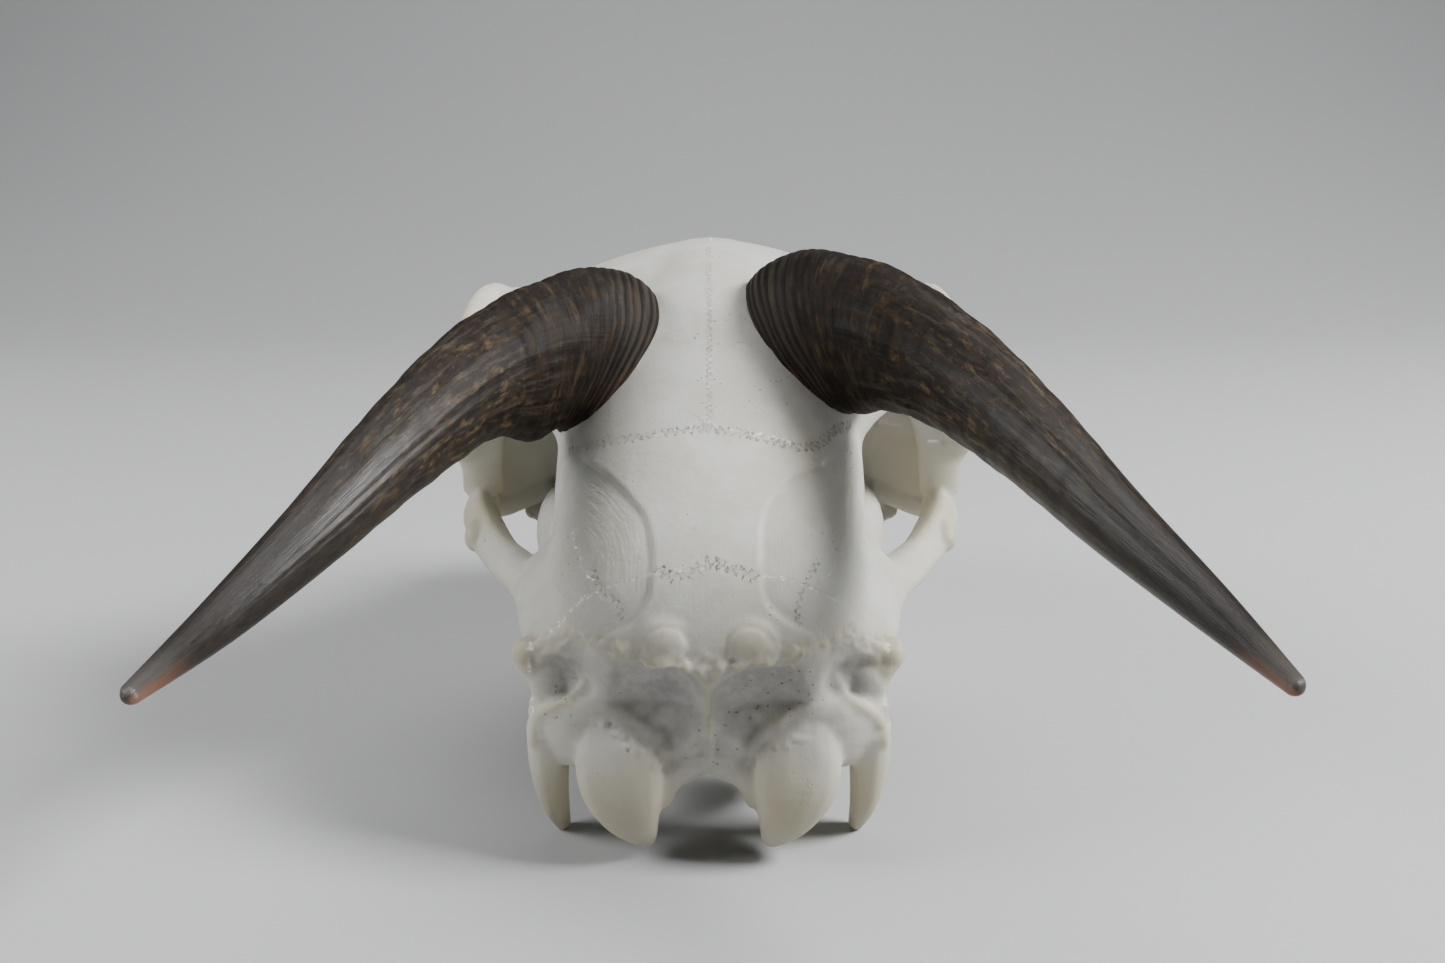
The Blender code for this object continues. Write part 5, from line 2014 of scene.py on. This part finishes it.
@dataclass(frozen=True)
class BoneFinish:
    """Bleached dry bone: white plates, cream swellings, streaks and dotted sutures, with painted shade in
    grey over its hollows and the nape's shade patches.
    """

    white: tuple = rgb(0.80, 0.79, 0.725)
    cream: tuple = rgb(0.735, 0.68, 0.50)
    # Painted shade in the hollows.
    grey: tuple = rgb(0.46, 0.44, 0.385)
    # Painted shade for the nape's grey patches.
    painted_shade_slate: tuple = rgb(0.43, 0.42, 0.425)
    brown: tuple = rgb(0.36, 0.22, 0.10)
    chalk: tuple = rgb(0.88, 0.875, 0.84)
    fine_depth: float = 0.00006
    streak_depth: float = 0.00014
    pore_depth: float = 0.00025
    seam_depth: float = 0.00020

    def material(self, name: str) -> bpy.types.Material:
        """Builds the material.

        Args:
            name: The material's name.

        Returns:
            The material.
        """
        n = Nodes(name)
        place = n.place()
        mottle = n.noise(place, 90, 4, 0.6)
        colour = n.mix(n.ramp(mottle, 0.38, 0.68), self.white, self.chalk)
        patch = n.noise(place, 45, 3, 0.5)
        cream = n.times(n.attribute("cream"), n.ramp(patch, 0.25, 0.6, 0.55, 1.0))
        faint = n.ramp(n.noise(place, 28, 3), 0.5, 0.75, 0.0, 0.30)
        colour = n.mix(n.math("MAXIMUM", cream, faint), colour, self.cream)
        # Painted shade: the grey patches, broken up by noise.
        cloud = n.ramp(n.noise(place, 260, 4, 0.65), 0.30, 0.62, 0.35, 1.0)
        colour = n.mix(n.times(n.attribute("grey"), cloud), colour, self.painted_shade_slate)
        # Painted shade: greyer in the hollows.
        colour = n.mix(n.ramp(n.attribute("hollow"), 0.12, 0.9, 0.0, 0.45), colour, self.grey)
        colour = n.mix(n.ramp(n.attribute("wear"), -0.2, -0.7, 0.0, 0.45), colour, self.cream)
        seam = self.seam(n)
        colour = n.mix(seam, colour, self.brown)
        pores = self.pores(n, place)
        colour = n.mix(n.times(pores, 0.35), colour, self.brown)
        normal = n.bump(n.noise(place, 900, 4, 0.6), self.fine_depth)
        normal = n.bump(self.streaks(n), self.streak_depth, normal)
        normal = n.bump(n.math("SUBTRACT", 1.0, pores), self.pore_depth, normal)
        normal = n.bump(n.math("SUBTRACT", 1.0, seam), self.seam_depth, normal)
        rough = n.ramp(n.noise(place, 130, 3), 0.3, 0.7, 0.42, 0.62)
        return n.finish(Base_Color=colour, Roughness=rough, Normal=normal, IOR=1.5)

    def pores(self, n: Nodes, place: Socket) -> Socket:
        """The small dark pores, in patches."""
        dots = n.add("ShaderNodeTexVoronoi", {"Vector": place, "Scale": 640.0}, feature="F1")
        patches = n.ramp(n.noise(place, 60, 2), 0.52, 0.66)
        return n.times(n.ramp(dots.outputs["Distance"], 0.17, 0.07), patches)

    def seam(self, n: Nodes) -> Socket:
        """A suture's line: a zigzag broken into dashes and dots.

        Args:
            n: The material's nodes.

        Returns:
            The line's strength.
        """
        seam = n.attribute("seam", "Vector")
        across, along, strength = n.parts(seam)
        flat = n.scaled(seam, (1.0, 1.0, 0.0))
        wander = n.math("SUBTRACT", n.noise(flat, 1.1, 3, 0.6), 0.5)
        walk = n.math("MULTIPLY_ADD", wander, 3.0, along)
        swing = n.times(n.math("SINE", n.times(walk, 3.9)), 0.62)
        jitter = n.math("SUBTRACT", n.noise(flat, 2.3, 2, 0.6), 0.5)
        swing = n.math("MULTIPLY_ADD", jitter, 1.6, swing)
        line = n.ramp(n.math("ABSOLUTE", n.math("SUBTRACT", across, swing)), 0.26, 0.07)
        dots = n.ramp(n.noise(n.scaled(seam, (3.0, 3.0, 0.0)), 1.0, 3, 0.7), 0.40, 0.60)
        inside = n.ramp(n.math("ABSOLUTE", across), 1.7, 1.3)
        return n.times(n.times(line, dots), n.times(inside, strength))

    def streaks(self, n: Nodes) -> Socket:
        """The temporal hollows' fine streaks."""
        grain = n.attribute("grain", "Vector")
        return n.times(n.noise(n.scaled(grain, (1.3, 0.16, 0.0)), 1.0, 4, 0.6, 0.6), n.parts(grain)[2])


@dataclass(frozen=True)
class HornFinish:
    """Dark horn: brown-black with ochre and grey streaks, a red-brown rim and a paler, glossy tip, with
    painted shade in the rings' grooves and a painted highlight on their crests near the rim.
    """

    black: tuple = rgb(0.007, 0.005, 0.004)
    brown: tuple = rgb(0.022, 0.0135, 0.008)
    ochre: tuple = rgb(0.084, 0.056, 0.025)
    # Grey for the streaks and the tip, and a painted highlight on the ring crests.
    grey: tuple = rgb(0.064, 0.057, 0.048)
    rust: tuple = rgb(0.075, 0.028, 0.016)
    tan: tuple = rgb(0.19, 0.085, 0.045)
    fibre_depth: float = 0.00009
    hoop_depth: float = 0.00016

    def material(self, name: str) -> bpy.types.Material:
        """Builds the material.

        Args:
            name: The material's name.

        Returns:
            The material.
        """
        n = Nodes(name)
        grain = n.attribute("grain", "Vector")
        share = n.attribute("share")
        over, _, along = n.parts(grain)
        mottle = n.noise(n.scaled(grain, (3.0, 3.0, 2.4)), 1.5, 6, 0.62, 0.3)
        base = n.ramp(share, 0.34, 0.16)
        low = n.ramp(over, 0.1, -0.8)
        colour = n.mix(n.ramp(mottle, 0.40, 0.66), self.black, self.brown)
        colour = self.flecked(n, grain, share, colour)
        bands = n.noise(n.scaled(grain, (0.9, 0.9, 9.0)), 1.0, 4, 0.65, 0.3)
        colour = n.mix(n.times(n.ramp(bands, 0.48, 0.64), n.times(base, 0.6)), colour, self.black)
        # Painted shade: black in the rings' grooves.
        groove = n.attribute("groove")
        colour = n.mix(n.ramp(groove, 0.04, 0.22, 0.0, 0.85), colour, self.black)
        # Painted highlight: grey on the ring crests near the rim.
        crest = n.times(n.ramp(groove, 0.09, 0.0), n.times(n.ramp(along, 1.6, 0.5), 0.32))
        colour = n.mix(crest, colour, self.grey)
        rust = n.times(n.ramp(along, 0.8, 0.05), n.times(low, n.ramp(mottle, 0.32, 0.58)))
        colour = n.mix(rust, colour, self.rust)
        colour = n.mix(n.ramp(share, 0.55, 0.80, 0.0, 0.6), colour, self.black)
        tip = n.mix(low, self.grey, self.tan)
        colour = n.mix(n.ramp(share, 0.90, 1.0, 0.0, 0.8), colour, tip)
        normal = n.bump(n.noise(n.scaled(grain, (16, 16, 1.2)), 1.0, 4, 0.6), self.fibre_depth)
        hoops = n.noise(n.scaled(grain, (1.5, 1.5, 22.0)), 1.0, 3, 0.6)
        normal = n.bump(n.times(hoops, base), self.hoop_depth, normal)
        rough = n.ramp(share, 0.30, 0.8, 0.58, 0.34)
        rough = n.math("MULTIPLY_ADD", n.math("SUBTRACT", mottle, 0.5), 0.3, rough)
        shine = n.ramp(share, 0.25, 0.8, 0.12, 0.40)
        return n.finish(Base_Color=colour, Roughness=rough, Normal=normal, Specular_IOR_Level=shine)

    def flecked(self, n: Nodes, grain: Socket, share: Socket, colour: Socket) -> Socket:
        """Lays ochre flecks and grey streaks over the dark horn.

        Args:
            n: The material's nodes.
            grain: The place round and along the horn.
            share: The share of the horn's length.
            colour: The dark horn's colour.

        Returns:
            The flecked colour.
        """
        fibres = n.noise(n.scaled(grain, (9, 9, 0.9)), 1.0, 5, 0.6, 0.2)
        hoops = n.noise(n.scaled(grain, (2.4, 2.4, 8.0)), 1.0, 4, 0.65, 0.2)
        blots = n.noise(n.scaled(grain, (6.0, 6.0, 2.2)), 1.0, 5, 0.7, 0.3)
        flecks = n.math("MULTIPLY_ADD", n.math("SUBTRACT", hoops, blots), n.ramp(share, 0.34, 0.18), blots)
        middle = n.times(n.ramp(share, 0.16, 0.34), n.ramp(share, 0.72, 0.5))
        golden = n.times(n.ramp(flecks, 0.50, 0.72), n.math("MULTIPLY_ADD", middle, 0.55, 0.40))
        colour = n.mix(n.times(golden, n.ramp(share, 0.05, 0.14)), colour, self.ochre)
        streaked = n.times(n.ramp(fibres, 0.50, 0.66), n.math("MULTIPLY_ADD", middle, 0.30, 0.06))
        return n.mix(streaked, colour, self.grey)


@dataclass(frozen=True)
class ToothFinish:
    """Teeth: ivory enamel with brown stain in the folds, and darker dentine on the worn face."""

    enamel: tuple = rgb(0.72, 0.66, 0.52)
    stain: tuple = rgb(0.16, 0.095, 0.05)
    dentine: tuple = rgb(0.40, 0.28, 0.15)
    streak_depth: float = 0.00012

    def material(self, name: str) -> bpy.types.Material:
        """Builds the material.

        Args:
            name: The material's name.

        Returns:
            The material.
        """
        n = Nodes(name)
        place = n.place()
        streak = n.noise(n.scaled(place, (1.0, 1.0, 0.25)), 420, 4, 0.6)
        colour = n.mix(n.ramp(streak, 0.45, 0.75, 0.0, 0.7), self.enamel, self.stain)
        pits = n.ramp(n.noise(place, 330, 3, 0.6), 0.42, 0.62)
        worn = n.times(n.attribute("worn"), n.math("MULTIPLY_ADD", pits, 0.6, 0.2))
        colour = n.mix(worn, colour, self.dentine)
        rough = n.ramp(streak, 0.3, 0.7, 0.25, 0.5)
        normal = n.bump(streak, self.streak_depth)
        return n.finish(Base_Color=colour, Roughness=rough, Normal=normal, IOR=1.6)


# The studio


@dataclass(frozen=True)
class SoftLight:
    """A soft square light: its place in metres, its power in watts and its size in metres."""

    name: str
    place: Point
    power: float
    size: float


@dataclass
class Studio:
    """A pale floor that sweeps up behind, soft lights and the photograph's camera."""

    view: PhotoView
    stance: Stance
    half_width: float = 2.6
    near: float = 2.2
    far: float = -1.5
    sweep: float = 0.9
    height: float = 2.6
    bends: int = 16
    colour: tuple = rgb(0.40, 0.405, 0.41)
    pale: tuple = rgb(0.43, 0.435, 0.44)
    sky: tuple = rgb(0.75, 0.77, 0.80)
    sky_strength: float = 0.06
    aim: Point = (0, 0, 0.05)
    sensor: float = 36.0
    lights: tuple[SoftLight, ...] = (
        SoftLight("key", (-0.80, 0.15, 0.75), 26.0, 0.34),
        SoftLight("fill", (0.85, 0.15, 0.60), 9.0, 0.45),
        SoftLight("top", (0.0, -0.35, 1.25), 6.0, 0.7),
    )

    def build(self) -> None:
        """Sets up the floor, the lights, the world and the camera."""
        self.floor()
        for light in self.lights:
            self.hang(light)
        world = bpy.data.worlds.new("studio")
        world.use_nodes = True
        background = world.node_tree.nodes["Background"]
        background.inputs["Color"].default_value = self.sky
        background.inputs["Strength"].default_value = self.sky_strength
        bpy.context.scene.world = world
        camera = bpy.data.objects.new("camera", bpy.data.cameras.new("camera"))
        camera.data.sensor_width = self.sensor
        camera.data.lens = self.sensor * self.view.focal / self.view.width
        camera.data.clip_start = 0.01
        camera.data.clip_end = 20.0
        camera.matrix_world = self.stance.matrix() @ self.view.matrix()
        bpy.context.scene.collection.objects.link(camera)
        bpy.context.scene.camera = camera

    def floor(self) -> None:
        """Makes the floor as a sheet that curves up beyond the nose."""
        profile = [(self.near, 0.0), (self.far + self.sweep, 0.0)]
        for k in range(1, self.bends + 1):
            turn = math.pi / 2 * k / self.bends
            profile.append((self.far + self.sweep * (1 - math.sin(turn)), self.sweep * (1 - math.cos(turn))))
        profile.append((self.far, self.height))
        bm = bmesh.new()
        row = [bm.verts.new((-self.half_width, y, z)) for y, z in profile]
        edges = [bm.edges.new(pair) for pair in zip(row, row[1:])]
        made = bmesh.ops.extrude_edge_only(bm, edges=edges)["geom"]
        moved = [item for item in made if isinstance(item, bmesh.types.BMVert)]
        bmesh.ops.translate(bm, verts=moved, vec=(2 * self.half_width, 0, 0))
        for face in bm.faces:
            face.smooth = True
        obj = object_from(bm, "studio_floor")
        n = Nodes("studio_floor")
        tone = n.mix(n.noise(n.place(), 3.0, 2), self.colour, self.pale)
        obj.data.materials.append(n.finish(Base_Color=tone, Roughness=0.8))

    def hang(self, light: SoftLight) -> None:
        """Adds a light that aims at the skull.

        Args:
            light: The light.
        """
        lamp = bpy.data.lights.new(light.name, "AREA")
        lamp.energy = light.power
        lamp.size = light.size
        obj = bpy.data.objects.new(light.name, lamp)
        obj.location = light.place
        obj.rotation_euler = (Vector(self.aim) - Vector(light.place)).to_track_quat("-Z", "Y").to_euler()
        bpy.context.scene.collection.objects.link(obj)


# Putting it together


class Slot(Enum):
    """The material slots' names."""

    BONE = "bone"
    HORN = "horn"


CREASE = math.radians(55)


def place_piece(
    obj: bpy.types.Object, stance: Stance, material: bpy.types.Material, node: str
) -> None:
    """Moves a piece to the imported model's frame, dresses it and hands it to the frame.

    Args:
        obj: The piece, in the skull's frame.
        stance: Where the skull's frame stands.
        material: Its finish.
        node: The node that it replaces.
    """
    obj.data.transform(stance.matrix())
    obj.data.materials.clear()
    obj.data.materials.append(material)
    obj.data.shade_smooth()
    obj.data.set_sharp_from_angle(angle=CREASE)
    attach(obj, "root")
    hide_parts(node)
    log.info("%s: %d faces", obj.name, len(obj.data.polygons))


def main() -> None:
    """Builds the studio, the bones, the teeth and the horns, and reports each."""
    logging.basicConfig(level=logging.INFO, format="%(asctime)s %(name)s %(message)s")
    stance = Stance()
    view = PhotoView()
    Studio(view, stance).build()

    horns = (HORN_LEFT, HORN_RIGHT)
    bone = Bone(view, horns, fine_voxel=FINE_VOXEL)
    body = bone.fuse()
    log.info("fused: %d faces", len(body.data.polygons))
    surface = bone.work_over(body)
    log.info("worked over")

    tree = surface.face_tree()
    horn_material = HornFinish().material("horn")
    for line in horns:
        sheath = HornSheath(line).build(body, tree)
        place_piece(sheath, stance, horn_material, line.name)

    painted = balanced(surface.points)
    bone_material = BoneFinish().material("bone")
    for node, piece in bone.parted(body).items():
        surface.paint(piece, painted)
        place_piece(piece, stance, bone_material, node)

    tooth_material = ToothFinish().material("teeth")
    for side, word in ((LEFT, "left"), (RIGHT, "right")):
        row = ToothRow(side).build("teeth_" + word)
        place_piece(row, stance, tooth_material, "maxilla_" + word)


if __name__ == "__main__":
    main()
